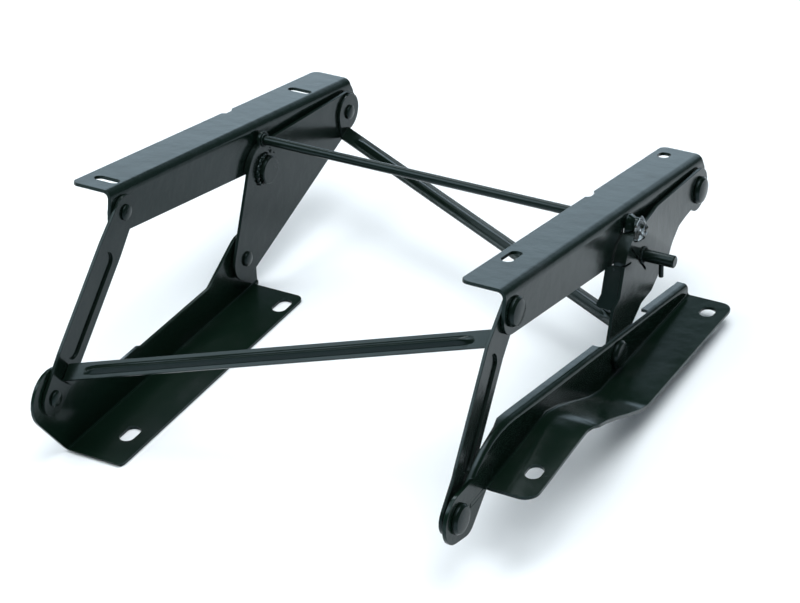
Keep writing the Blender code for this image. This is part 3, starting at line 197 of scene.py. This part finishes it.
class EdgeSettings(bpy.types.PropertyGroup):
    """Softening of the sheared and pressed edges."""

    sheet_edge: bpy.props.FloatProperty(
        name="Sheet edge", description="Bevel width on the edges of the rails and links",
        default=0.00030, min=0.0, max=0.002, precision=5, unit="LENGTH")
    brace_edge: bpy.props.FloatProperty(
        name="Brace edge", description="Bevel width on the braces and the rod",
        default=0.00030, min=0.0, max=0.002, precision=5, unit="LENGTH")
    rivet_edge: bpy.props.FloatProperty(
        name="Rivet edge", description="Bevel width on rivets, washers and latch",
        default=0.00030, min=0.0, max=0.002, precision=5, unit="LENGTH")


class WeldSettings(bpy.types.PropertyGroup):
    """Sizes of the weld beads on the rear links."""

    dome_radius: bpy.props.FloatProperty(
        name="Rod end weld radius", description="Radius of the lumpy weld over the rod's right end",
        default=0.0094, min=0.001, max=0.02, precision=5, unit="LENGTH")
    dome_height: bpy.props.FloatProperty(
        name="Rod end weld height", description="How far that weld stands off the plate",
        default=0.0040, min=0.0005, max=0.01, precision=5, unit="LENGTH")
    lump: bpy.props.FloatProperty(
        name="Lump", description="Height of the lumps on the weld over the rod's right end",
        default=0.0010, min=0.0, max=0.003, precision=5, unit="LENGTH")
    bead_width: bpy.props.FloatProperty(
        name="Bead width", description="Width of the weld bead round the left boss",
        default=0.0034, min=0.0005, max=0.01, precision=5, unit="LENGTH")
    bead_height: bpy.props.FloatProperty(
        name="Bead height", description="How far that bead stands off the plate",
        default=0.0024, min=0.0002, max=0.01, precision=5, unit="LENGTH")


class StudioSettings(bpy.types.PropertyGroup):
    """Floor, lights and room."""

    floor_size: bpy.props.FloatProperty(
        name="Floor size", description="Length of the pale floor's sides",
        default=14.0, min=1.0, max=60.0, unit="LENGTH")
    floor_colour: bpy.props.FloatVectorProperty(
        name="Floor colour", description="Colour of the pale floor",
        default=(0.83, 0.89, 0.93), size=3, subtype="COLOR", min=0.0, max=1.0)
    overhead_power: bpy.props.FloatProperty(
        name="Overhead light", description="Power of the large softbox overhead",
        default=23.0, min=0.0, max=2000.0, unit="POWER")
    ceiling_power: bpy.props.FloatProperty(
        name="Ceiling light", description="Power of the wide ceiling light that fills the shadows",
        default=158.0, min=0.0, max=2000.0, unit="POWER")
    card_power: bpy.props.FloatProperty(
        name="Light cards",
        description="Power of each small card: in front, at the left and behind",
        default=14.0, min=0.0, max=500.0, unit="POWER")
    wall_level: bpy.props.FloatProperty(
        name="Wall level", description="Brightness of the room's pale wall",
        default=1.95, min=0.0, max=5.0)
    wall_colour: bpy.props.FloatVectorProperty(
        name="Wall colour", description="Colour of the room's pale wall",
        default=(0.70, 0.87, 1.0), size=3, subtype="COLOR", min=0.0, max=1.0)


class Sock:
    """One output of a node. Arithmetic on it adds Math nodes to its tree."""

    def __init__(self, maker, link):
        self.maker = maker
        self.link = link

    def _maths(self, operation, *values):
        return self.maker.value("ShaderNodeMath", {"operation": operation}, values)

    def __add__(self, other):
        return self._maths("ADD", self, other)

    def __radd__(self, other):
        return self._maths("ADD", other, self)

    def __sub__(self, other):
        return self._maths("SUBTRACT", self, other)

    def __rsub__(self, other):
        return self._maths("SUBTRACT", other, self)

    def __mul__(self, other):
        return self._maths("MULTIPLY", self, other)

    def __rmul__(self, other):
        return self._maths("MULTIPLY", other, self)

    def clamped(self):
        """The value kept between 0 and 1."""
        return self._maths("MINIMUM", self._maths("MAXIMUM", self, 0.0), 1.0)

    def ramp(self, low, high):
        """0 below low, 1 above high and a smooth rise between them."""
        return self.maker.value("ShaderNodeMapRange", {"interpolation_type": "SMOOTHSTEP"},
                                (self, low, high, 0.0, 1.0))


class Maker:
    """Builds one tree of nodes, from empty. Every node in it comes from node()."""

    def __init__(self, tree):
        self.tree = tree
        tree.nodes.clear()

    def node(self, kind, settings=None, values=()):
        """A node of that type with its settings first, then its sockets' values or links."""
        made = self.tree.nodes.new(kind)
        for key, setting in (settings or {}).items():
            if key == "stops":
                stops = made.color_ramp.elements
                while len(stops) < len(setting):
                    stops.new(0.5)
                for stop, (position, shade) in zip(stops, setting):
                    stop.position = position
                    stop.color = colour(shade)
            else:
                setattr(made, key, setting)
        for key, value in values.items() if isinstance(values, dict) else enumerate(values):
            if isinstance(value, Sock):
                self.tree.links.new(value.link, made.inputs[key])
            elif value is not None:
                made.inputs[key].default_value = value
        return made

    def value(self, kind, settings=None, values=(), output=0):
        """One output of a new node."""
        return Sock(self, self.node(kind, settings, values).outputs[output])

    def mix(self, factor, low, high, blend="MIX"):
        """A colour between low and high, or the two blended in another way."""
        return self.value("ShaderNodeMix", {"data_type": "RGBA", "blend_type": blend},
                          {0: factor, 6: low, 7: high}, 2)


class Finish(Maker):
    """Builds one material round a Principled shader."""

    def __init__(self, name):
        self.material = bpy.data.materials.new(name)
        self.material.use_nodes = True
        super().__init__(self.material.node_tree)
        self.shader = self.node("ShaderNodeBsdfPrincipled")
        self.node("ShaderNodeOutputMaterial", {}, {"Surface": Sock(self, self.shader.outputs[0])})

    def set(self, **values):
        """Sets the shader's sockets, by value or by link."""
        for key, value in values.items():
            socket = self.shader.inputs[key.replace("_", " ")]
            if isinstance(value, Sock):
                self.tree.links.new(value.link, socket)
            else:
                socket.default_value = value

    def place(self):
        """Object coordinates, in metres."""
        return self.value("ShaderNodeTexCoord", output="Object")

    def stretched(self, where, scale):
        """Coordinates stretched by a scale on each axis."""
        return self.value("ShaderNodeMapping", {"vector_type": "POINT"},
                          {"Vector": where, "Scale": scale})

    def noise(self, where, scale, detail=2.0, roughness=0.5):
        """Noise of that scale per metre, from 0 to 1."""
        return self.value("ShaderNodeTexNoise", {"noise_dimensions": "3D"},
                          {"Vector": where, "Scale": scale, "Detail": detail,
                           "Roughness": roughness}, "Fac")

    def bump(self, height, distance, under=None):
        """A normal from a height between 0 and 1 and a real depth, over another normal."""
        return self.value("ShaderNodeBump", {}, {"Height": height, "Distance": distance,
                                                 "Strength": 1.0, "Normal": under})


def colour(rgb):
    """An opaque colour for a node's socket."""
    return (*rgb, 1.0)


def paint_black(name, tint, haze=SHEET_HAZE, roughness=None, peel=None):
    """Baked gloss black: the ripple of orange peel over slower waves of the drawn metal, and wiped
    patches of haze that are paler, rougher and dusty. Roughness and peel are the settings' own
    where none are given."""
    settings = bpy.context.scene.riser_paint
    roughness = settings.roughness if roughness is None else roughness
    peel = settings.peel if peel is None else peel
    m = Finish(name)
    at = m.place()
    cloud = m.noise(at, HAZE_GRAIN, detail=3.0, roughness=0.55).ramp(0.45, 0.75)
    wipe = m.noise(m.stretched(at, WIPE_GRAIN), 1.0, detail=3.0, roughness=0.6).ramp(0.35, 0.7)
    hazed = cloud * wipe * haze
    specks = m.noise(at, SPECK_GRAIN, detail=1.0).ramp(0.74, 0.84) * (SPECK_SHARE * haze)
    base = m.mix(hazed, colour(tint), colour(settings.haze_tint))
    spread = (m.noise(at, GLOSS_GRAIN) - 0.5) * GLOSS_SPREAD
    drawn = m.bump(m.noise(at, METAL_GRAIN), peel * METAL_DEPTH)
    m.set(Base_Color=m.mix(specks, base, colour(SPECK_COLOUR)),
          Roughness=(roughness + hazed * HAZE_ROUGHER + spread).clamped(),
          Normal=m.bump(m.noise(at, PEEL_GRAIN, roughness=0.45), peel, drawn),
          IOR=PAINT_IOR, Specular_IOR_Level=PAINT_SPECULAR,
          Specular_Tint=colour(PAINT_SPECULAR_TINT))
    return m.material


def paint_weld(name, tint):
    """Weld metal under thin black paint: pale bare crests, stained here and there, between black
    hollows, with fine scale all over."""
    m = Finish(name)
    at = m.place()
    crest = m.noise(at, CREST_GRAIN, roughness=0.4).ramp(0.47, 0.58)
    bare = m.mix(m.noise(at, STAIN_GRAIN).ramp(0.4, 0.6), colour(STAINED_METAL),
                 colour(CLEAN_METAL))
    m.set(Base_Color=m.mix(crest, colour(tint), bare), Metallic=crest * CREST_METALLIC,
          Roughness=(HOLLOW_ROUGHNESS + crest * CREST_ROUGHER).clamped(),
          Normal=m.bump(m.noise(at, SCALE_GRAIN), SCALE_DEPTH),
          IOR=PAINT_IOR, Specular_IOR_Level=WELD_SPECULAR)
    return m.material


def soften_group():
    """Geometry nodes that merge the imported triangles' corners, drop the normals and sharp marks
    that were packed with them, and let their faces shade smoothly."""
    name = "weld_and_smooth"
    if name in bpy.data.node_groups:
        return bpy.data.node_groups[name]
    group = bpy.data.node_groups.new(name, "GeometryNodeTree")
    for way in ("INPUT", "OUTPUT"):
        group.interface.new_socket("Geometry", in_out=way, socket_type="NodeSocketGeometry")
    m = Maker(group)
    flow = m.value("GeometryNodeMergeByDistance", {},
                   {"Geometry": m.value("NodeGroupInput"), "Distance": MERGE_DISTANCE})
    for stale in ("custom_normal", "sharp_edge", "sharp_face"):
        flow = m.value("GeometryNodeRemoveAttribute", {}, {"Geometry": flow, "Name": stale})
    m.node("NodeGroupOutput", {}, (m.value("GeometryNodeSetShadeSmooth", {}, {0: flow}),))
    return group


def soften(piece, width):
    """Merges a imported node's corners, dissolves its flat triangles and rounds its hard edges."""
    piece.modifiers.new("Weld and smooth", "NODES").node_group = soften_group()
    flat = piece.modifiers.new("Flatten", "DECIMATE")
    flat.decimate_type = "DISSOLVE"
    flat.angle_limit = FLAT_ANGLE
    edge = piece.modifiers.new("Edges", "BEVEL")
    edge.width = width
    edge.segments = EDGE_SEGMENTS
    edge.limit_method = "ANGLE"
    edge.angle_limit = EDGE_ANGLE
    edge.use_clamp_overlap = False
    edge.harden_normals = False
    piece.modifiers.new("Normals", "WEIGHTED_NORMAL").keep_sharp = False


def dress(names, material, width):
    """Gives each node its paint and its soft edges."""
    for name in names:
        piece = NODES[name]
        for slot in piece.material_slots:
            slot.material = material
        soften(piece, width)


class RISER_OT_seat_rails(bpy.types.Operator):
    """Paints the two sloping seat rails."""

    bl_idname = "riser.seat_rails"
    bl_label = "Seat rails"

    def execute(self, context):
        tint = context.scene.riser_paint.seat_tint
        dress(SEAT_RAILS, paint_black("seat_rail_black", tint),
              context.scene.riser_edges.sheet_edge)
        return {"FINISHED"}


class RISER_OT_floor_rails(bpy.types.Operator):
    """Paints the two floor rails."""

    bl_idname = "riser.floor_rails"
    bl_label = "Floor rails"

    def execute(self, context):
        tint = context.scene.riser_paint.floor_tint
        dress(FLOOR_RAILS, paint_black("floor_rail_black", tint),
              context.scene.riser_edges.sheet_edge)
        return {"FINISHED"}


class RISER_OT_links(bpy.types.Operator):
    """Paints the front and rear links."""

    bl_idname = "riser.links"
    bl_label = "Links"

    def execute(self, context):
        tint = context.scene.riser_paint.link_tint
        dress(LINKS, paint_black("link_black", tint), context.scene.riser_edges.sheet_edge)
        return {"FINISHED"}


class RISER_OT_braces(bpy.types.Operator):
    """Paints the two diagonal braces and the cross rod."""

    bl_idname = "riser.braces"
    bl_label = "Braces and rod"

    def execute(self, context):
        tint = context.scene.riser_paint.link_tint
        dress(BRACES, paint_black("brace_black", tint, BRACE_HAZE),
              context.scene.riser_edges.brace_edge)
        return {"FINISHED"}


class RISER_OT_fasteners(bpy.types.Operator):
    """Paints the rivets, washers, bush, boss, pin and peg."""

    bl_idname = "riser.fasteners"
    bl_label = "Rivets, washers and latch"

    def execute(self, context):
        paint = context.scene.riser_paint
        dress(RIVETS + SPACERS + LATCH,
              paint_black("fastener_black", paint.link_tint, FASTENER_HAZE,
                          paint.roughness + FASTENER_ROUGHER),
              context.scene.riser_edges.rivet_edge)
        return {"FINISHED"}


def new_mesh(name, spots, faces):
    """A smoothly shaded mesh from its vertices and faces."""
    mesh = bpy.data.meshes.new(name)
    mesh.from_pydata(spots, [], faces)
    mesh.polygons.foreach_set("use_smooth", np.ones(len(mesh.polygons), bool))
    mesh.update()
    return mesh


def sheet(name, points):
    """A mesh of quads over an open grid of points."""
    rows, columns = points.shape[:2]
    index = np.arange(rows * columns).reshape(rows, columns)
    quads = np.stack([index[:-1, :-1], index[1:, :-1], index[1:, 1:], index[:-1, 1:]], -1)
    return new_mesh(name, points.reshape(-1, 3).tolist(), quads.reshape(-1, 4).tolist())


def shell(points, ends=None):
    """Vertices, quads and triangles of a closed surface over a grid of points. Columns run round
    the section. Rows close on the two end points, or without them the last row joins the first.
    The faces are turned outwards where the volume that they enclose comes out negative."""
    rows, columns = points.shape[:2]
    index = np.arange(rows * columns).reshape(rows, columns)
    beside = np.roll(index, -1, 1)
    quads = np.stack([index, np.roll(index, -1, 0), np.roll(beside, -1, 0), beside], -1)
    spots = points.reshape(-1, 3)
    fans = np.zeros((0, 3), int)
    if ends is not None:
        first, last = np.full(columns, len(spots)), np.full(columns, len(spots) + 1)
        quads = quads[:-1]
        fans = np.concatenate([np.stack([first, index[0], beside[0]], -1),
                               np.stack([last, beside[-1], index[-1]], -1)])
        spots = np.concatenate([spots, np.array(ends)])
    quads = quads.reshape(-1, 4)
    loose = np.concatenate([quads[:, :3], quads[:, [0, 2, 3]], fans])
    a, b, c = (spots[loose[:, corner]] for corner in range(3))
    if np.einsum("ij,ij->i", a - spots[0], np.cross(b - spots[0], c - spots[0])).sum() < 0.0:
        quads, fans = quads[:, ::-1], fans[:, ::-1]
    return spots, quads, fans


def lumps(across, up, cell, seed, waves=7):
    """Smooth lumps from about -1 to 1: 2.2 times the mean of some plane waves, each
    sin(2 pi d / wave + phase), where d is the distance along the wave's own direction and wave is
    1 to 1.9 cells."""
    rng = np.random.default_rng(seed)
    turn, phase = rng.uniform(0.0, 2 * np.pi, (2, waves))
    wave = cell * rng.uniform(1.0, 1.9, waves)
    along = across[..., None] * np.cos(turn) + up[..., None] * np.sin(turn)
    return np.sin(2 * np.pi * along / wave + phase).mean(-1) * 2.2


def dome(foot, radius, height, lump, cell, seed, rows=22, columns=56):
    """A lumpy dome on a plate that looks to +X. At share t from its middle to its rim it stands
    height (1 - t^3.2) proud, plus lumps that fade as 1 - t^5. Its rim is the radius times
    1 + 0.06 sin(3 turn + 0.6 + seed) + 0.045 sin(5 turn + 2 seed)."""
    t = np.linspace(0.0, 1.0, rows)[1:, None]
    turn = np.linspace(0.0, 2 * np.pi, columns, endpoint=False)[None, :]
    rim = radius * (1.0 + 0.06 * np.sin(3 * turn + 0.6 + seed)
                    + 0.045 * np.sin(5 * turn + 2.0 * seed))
    y = foot[1] + rim * t * np.cos(turn)
    z = foot[2] + rim * t * np.sin(turn)
    x = foot[0] + height * (1.0 - t ** 3.2) + lump * lumps(y, z, cell, seed) * (1.0 - t ** 5)
    crown = x[0].mean()
    return shell(np.stack([x, y, z], -1), ((crown, foot[1], foot[2]), foot))


def filler(centre, lean, length, width, depth, rows=14, columns=24):
    """A rounded bar along X. At t from -1 to 1 along it, its section is an ellipse of half axes
    width and depth times (1 - t^6)^0.5, leaning from the vertical by the angle lean."""
    t = np.linspace(-1.0, 1.0, rows + 2)[1:-1, None]
    turn = np.linspace(0.0, 2 * np.pi, columns, endpoint=False)[None, :]
    fade = np.sqrt(1.0 - t ** 6)
    up, out = width * fade * np.sin(turn), depth * fade * np.cos(turn)
    y = centre[1] + up * np.sin(lean) + out * np.cos(lean)
    z = centre[2] + up * np.cos(lean) - out * np.sin(lean)
    x = np.broadcast_to(centre[0] + length * t, y.shape)
    ends = [(centre[0] + side * length, centre[1], centre[2]) for side in (-1.0, 1.0)]
    return shell(np.stack([x, y, z], -1), ends)


def on_circle(foot, radius, degrees):
    """The point at an angle on a circle round a foot, on a plate that looks to +X."""
    return (foot[0], foot[1] + radius * np.cos(np.radians(degrees)),
            foot[2] + radius * np.sin(np.radians(degrees)))


def bead(foot, radius, width, height, ripples, seed, angles=None, rows=110, columns=11):
    """A weld bead round a circle on a plate that looks to +X, all the way or between two angles.
    Its section is half an ellipse on a flat foot, and u runs from 0 to pi over it. Both axes swell
    with sin(ripples turn + 0.9 cos u + seed) and stray by 0.10 sin(3 turn + seed) +
    0.07 sin(7 turn + 2 seed), and between two angles they fade as sin(pi t)^0.4 with the share t of
    the way."""
    first, last = angles or (0.0, 360.0)
    if angles is None:
        t = np.linspace(0.0, 1.0, rows, endpoint=False)
        fade, ends = 1.0, None
    else:
        t = np.linspace(0.0, 1.0, rows)[1:-1]
        fade = np.sin(np.pi * t[:, None]) ** 0.4
        ends = [on_circle(foot, radius, angle) for angle in angles]
    turn = np.radians(first + (last - first) * t)[:, None]
    u = np.linspace(0.0, np.pi, columns)[None, :]
    swell = np.sin(ripples * turn + 0.9 * np.cos(u) + seed)
    stray = np.sin(3 * turn + seed) * 0.10 + np.sin(7 * turn + 2 * seed) * 0.07
    wide = width * fade * (1.0 + 0.10 * swell + stray)
    high = height * fade * (1.0 + 0.16 * swell + stray)
    r = radius + wide * (0.5 + 0.5 * np.cos(u))
    points = np.stack([foot[0] + high * np.sin(u), foot[1] + r * np.cos(turn),
                       foot[2] + r * np.sin(turn)], -1)
    return shell(points, ends)


def root(node, shift=(0.0, 0.0, 0.0)):
    """The middle of the side that a node's box turns to -X, shifted."""
    low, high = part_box(node)
    middle = (low.x, (low.y + high.y) / 2, (low.z + high.z) / 2)
    return tuple(place + by for place, by in zip(middle, shift))


def weld_piece(name, shells, body, material):
    """One object from closed shells, riding on a body."""
    spots, faces, start = [], [], 0
    for points, quads, fans in shells:
        spots += points.tolist()
        faces += (quads + start).tolist() + (fans + start).tolist()
        start += len(points)
    mesh = new_mesh(name, spots, faces)
    mesh.materials.append(material)
    piece = bpy.data.objects.new(name, mesh)
    bpy.context.scene.collection.objects.link(piece)
    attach(piece, body)
    return piece


class RISER_OT_welds(bpy.types.Operator):
    """Lays the welds at the rod's ends, the right fold, the pin's root and the left boss. The bead
    round the rod at the right web also plugs the rod's slot there: painted shade.
    """

    bl_idname = "riser.welds"
    bl_label = "Weld beads"

    def execute(self, context):
        paint, welds = context.scene.riser_paint, context.scene.riser_welds
        black = paint_black("weld_black", paint.link_tint, WELD_HAZE,
                            paint.roughness * 0.5, paint.peel * 2.0)
        slag = paint_weld("weld_slag", paint.link_tint)

        blob = dome(root("rod_weld_right", ROD_END_SHIFT), welds.dome_radius, welds.dome_height,
                    welds.lump, cell=0.0029, seed=4)
        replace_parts(weld_piece("rod_end_weld", [blob], "rear_links", slag), "rod_weld_right")

        # A black bead round the rod at the web that also plugs the rod's slot: a dark plug of
        # painted shade where the slot lies only in shadow.
        seat = dome(root("rod_weld_right", ROD_SEAT_PLUG_SHIFT), radius=0.0086, height=0.0064,
                    lump=0.0003, cell=0.0030, seed=2)
        seam = filler(FOLD_MOUTH, FOLD_LEAN, length=0.0040, width=0.0042, depth=0.0009)
        weld_piece("fold_weld", [seat, seam], "rear_links", black)

        for node, name, radius, width, height, ripples, seed in RING_WELDS:
            ring = bead(root(node), radius, width, height, ripples, seed)
            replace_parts(weld_piece(name, [ring], "rear_links", black), node)

        foot = root("latch_boss_left")
        low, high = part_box("latch_boss_left")
        radius = (high.y - low.y) / 2 + BOSS_GAP
        shells = [bead(foot, radius, welds.bead_width, welds.bead_height, ripples=21, seed=3,
                       angles=BOSS_BEAD)]
        rng = np.random.default_rng(8)
        turns, reaches, sizes = (rng.uniform(*span, SPATTER_DROPS)
                                 for span in (SPATTER_ANGLES, SPATTER_REACH, SPATTER_SIZES))
        for turn, reach, size in zip(turns, reaches, sizes):
            shells.append(dome(on_circle(foot, radius * reach, turn), size, size * SPATTER_RISE,
                               lump=0.0, cell=0.0020, seed=1, rows=6, columns=12))
        weld_piece("boss_weld", shells, "rear_links", black)
        return {"FINISHED"}


def room(wall, level):
    """A world with one pale wall, behind and to the left, that fades to a dark room and ceiling.
    Its colour is the wall's, times the shares for the height, side and depth looked in."""
    world = bpy.data.worlds.new("room")
    world.use_nodes = True
    m = Maker(world.node_tree)
    at = m.value("ShaderNodeTexCoord", output="Generated")
    look = m.node("ShaderNodeSeparateXYZ", {}, (at,))
    glow = None
    for axis, tint, shares in (("Z", wall, WALL_BY_HEIGHT), ("X", WHITE, WALL_BY_SIDE),
                               ("Y", WHITE, WALL_BY_DEPTH)):
        stops = [(place, [part * share for part in tint]) for place, share in shares]
        band = m.value("ShaderNodeValToRGB", {"stops": stops}, (Sock(m, look.outputs[axis]),))
        glow = band if glow is None else m.mix(1.0, glow, band, "MULTIPLY")
    lit = m.value("ShaderNodeBackground", {}, {"Color": glow, "Strength": level})
    m.node("ShaderNodeOutputWorld", {}, {"Surface": lit})
    return world


def lay_floor(settings):
    """The pale floor: a flat grid under the object, whose colour hardly varies."""
    half = settings.floor_size / 2
    along = np.linspace(-half, half, FLOOR_POINTS)
    x, y = np.meshgrid(along, along, indexing="ij")
    level = CAD_BOX[0][2] - FLOOR_GAP
    ground = bpy.data.objects.new("floor", sheet("floor", np.stack([x, y, 0 * x + level], -1)))
    m = Finish("pale_floor")
    shade = [part * FLOOR_SHADE for part in settings.floor_colour]
    m.set(Base_Color=m.mix(m.noise(m.place(), 3.0), colour(settings.floor_colour), colour(shade)),
          Roughness=0.9, Specular_IOR_Level=0.1)
    ground.data.materials.append(m.material)
    return ground


def hang_light(name, place, power, side):
    """A square soft light that the camera doesn't see. The gloss panel shows in gloss alone."""
    lamp = bpy.data.lights.new(name, "AREA")
    lamp.shape = "RECTANGLE"
    lamp.size = lamp.size_y = side
    lamp.energy = power
    light = bpy.data.objects.new(name, lamp)
    light.location = place
    light.visible_camera = False
    light.visible_diffuse = name != GLOSS_PANEL
    light.rotation_euler = (Vector(LIGHT_AIM) - Vector(place)).to_track_quat("-Z", "Y").to_euler()
    return light


def photo_camera():
    """A camera where the photograph was taken from, with the photograph's framing."""
    right, ahead = Vector(CAMERA_RIGHT).normalized(), Vector(CAMERA_AHEAD).normalized()
    up = right.cross(ahead).normalized()
    eye = bpy.data.cameras.new("photo_camera")
    eye.sensor_width = SENSOR_WIDTH
    eye.lens = LENS_PIXELS * SENSOR_WIDTH / IMAGE_WIDTH
    eye.shift_x = -(LENS_CENTRE[0] - IMAGE_WIDTH / 2) / IMAGE_WIDTH
    eye.shift_y = (LENS_CENTRE[1] - IMAGE_HEIGHT / 2) / IMAGE_WIDTH
    eye.clip_start, eye.clip_end = CAMERA_CLIP
    camera = bpy.data.objects.new("photo_camera", eye)
    camera.rotation_mode = "QUATERNION"
    camera.rotation_quaternion = Matrix((right, up, -ahead)).transposed().to_quaternion()
    camera.location = CAMERA_PLACE
    return camera


class RISER_OT_stage(bpy.types.Operator):
    """Lays the pale floor, builds the room, hangs the lights and sets up the camera."""

    bl_idname = "riser.stage"
    bl_label = "Studio"

    def execute(self, context):
        scene, settings = context.scene, context.scene.riser_studio
        ground = lay_floor(settings)
        scene.collection.objects.link(ground)
        scene.world = room(settings.wall_colour, settings.wall_level)
        for name, place, power, side in LIGHTS:
            scene.collection.objects.link(hang_light(name, place, getattr(settings, power), side))
        camera = photo_camera()
        scene.collection.objects.link(camera)
        scene.camera = camera
        scene.view_settings.view_transform = "Standard"
        return {"FINISHED"}


class RISER_PT_panel(bpy.types.Panel):
    """Lists the steps and their settings."""

    bl_idname = "RISER_PT_panel"
    bl_label = "Seat riser"
    bl_space_type = "VIEW_3D"
    bl_region_type = "UI"
    bl_category = "Seat riser"

    def draw(self, context):
        for name in GROUPS:
            group = getattr(context.scene, name)
            for key in group.__annotations__:
                self.layout.prop(group, key)
        for step in STEPS:
            self.layout.operator(step.bl_idname)


STEPS = (RISER_OT_seat_rails, RISER_OT_floor_rails, RISER_OT_links, RISER_OT_braces,
         RISER_OT_fasteners, RISER_OT_welds, RISER_OT_stage)
GROUPS = {"riser_paint": PaintSettings, "riser_edges": EdgeSettings, "riser_welds": WeldSettings,
          "riser_studio": StudioSettings}


def register():
    """Adds the settings, the steps and the panel to Blender."""
    for name, group in GROUPS.items():
        bpy.utils.register_class(group)
        setattr(bpy.types.Scene, name, bpy.props.PointerProperty(type=group))
    for item in (*STEPS, RISER_PT_panel):
        bpy.utils.register_class(item)


def unregister():
    """Takes them out again."""
    for item in (RISER_PT_panel, *reversed(STEPS)):
        bpy.utils.unregister_class(item)
    for name, group in GROUPS.items():
        delattr(bpy.types.Scene, name)
        bpy.utils.unregister_class(group)


def main():
    """Runs every step in order."""
    register()
    for step in STEPS:
        family, name = step.bl_idname.split(".")
        getattr(getattr(bpy.ops, family), name)()


if __name__ == "__main__":
    main()
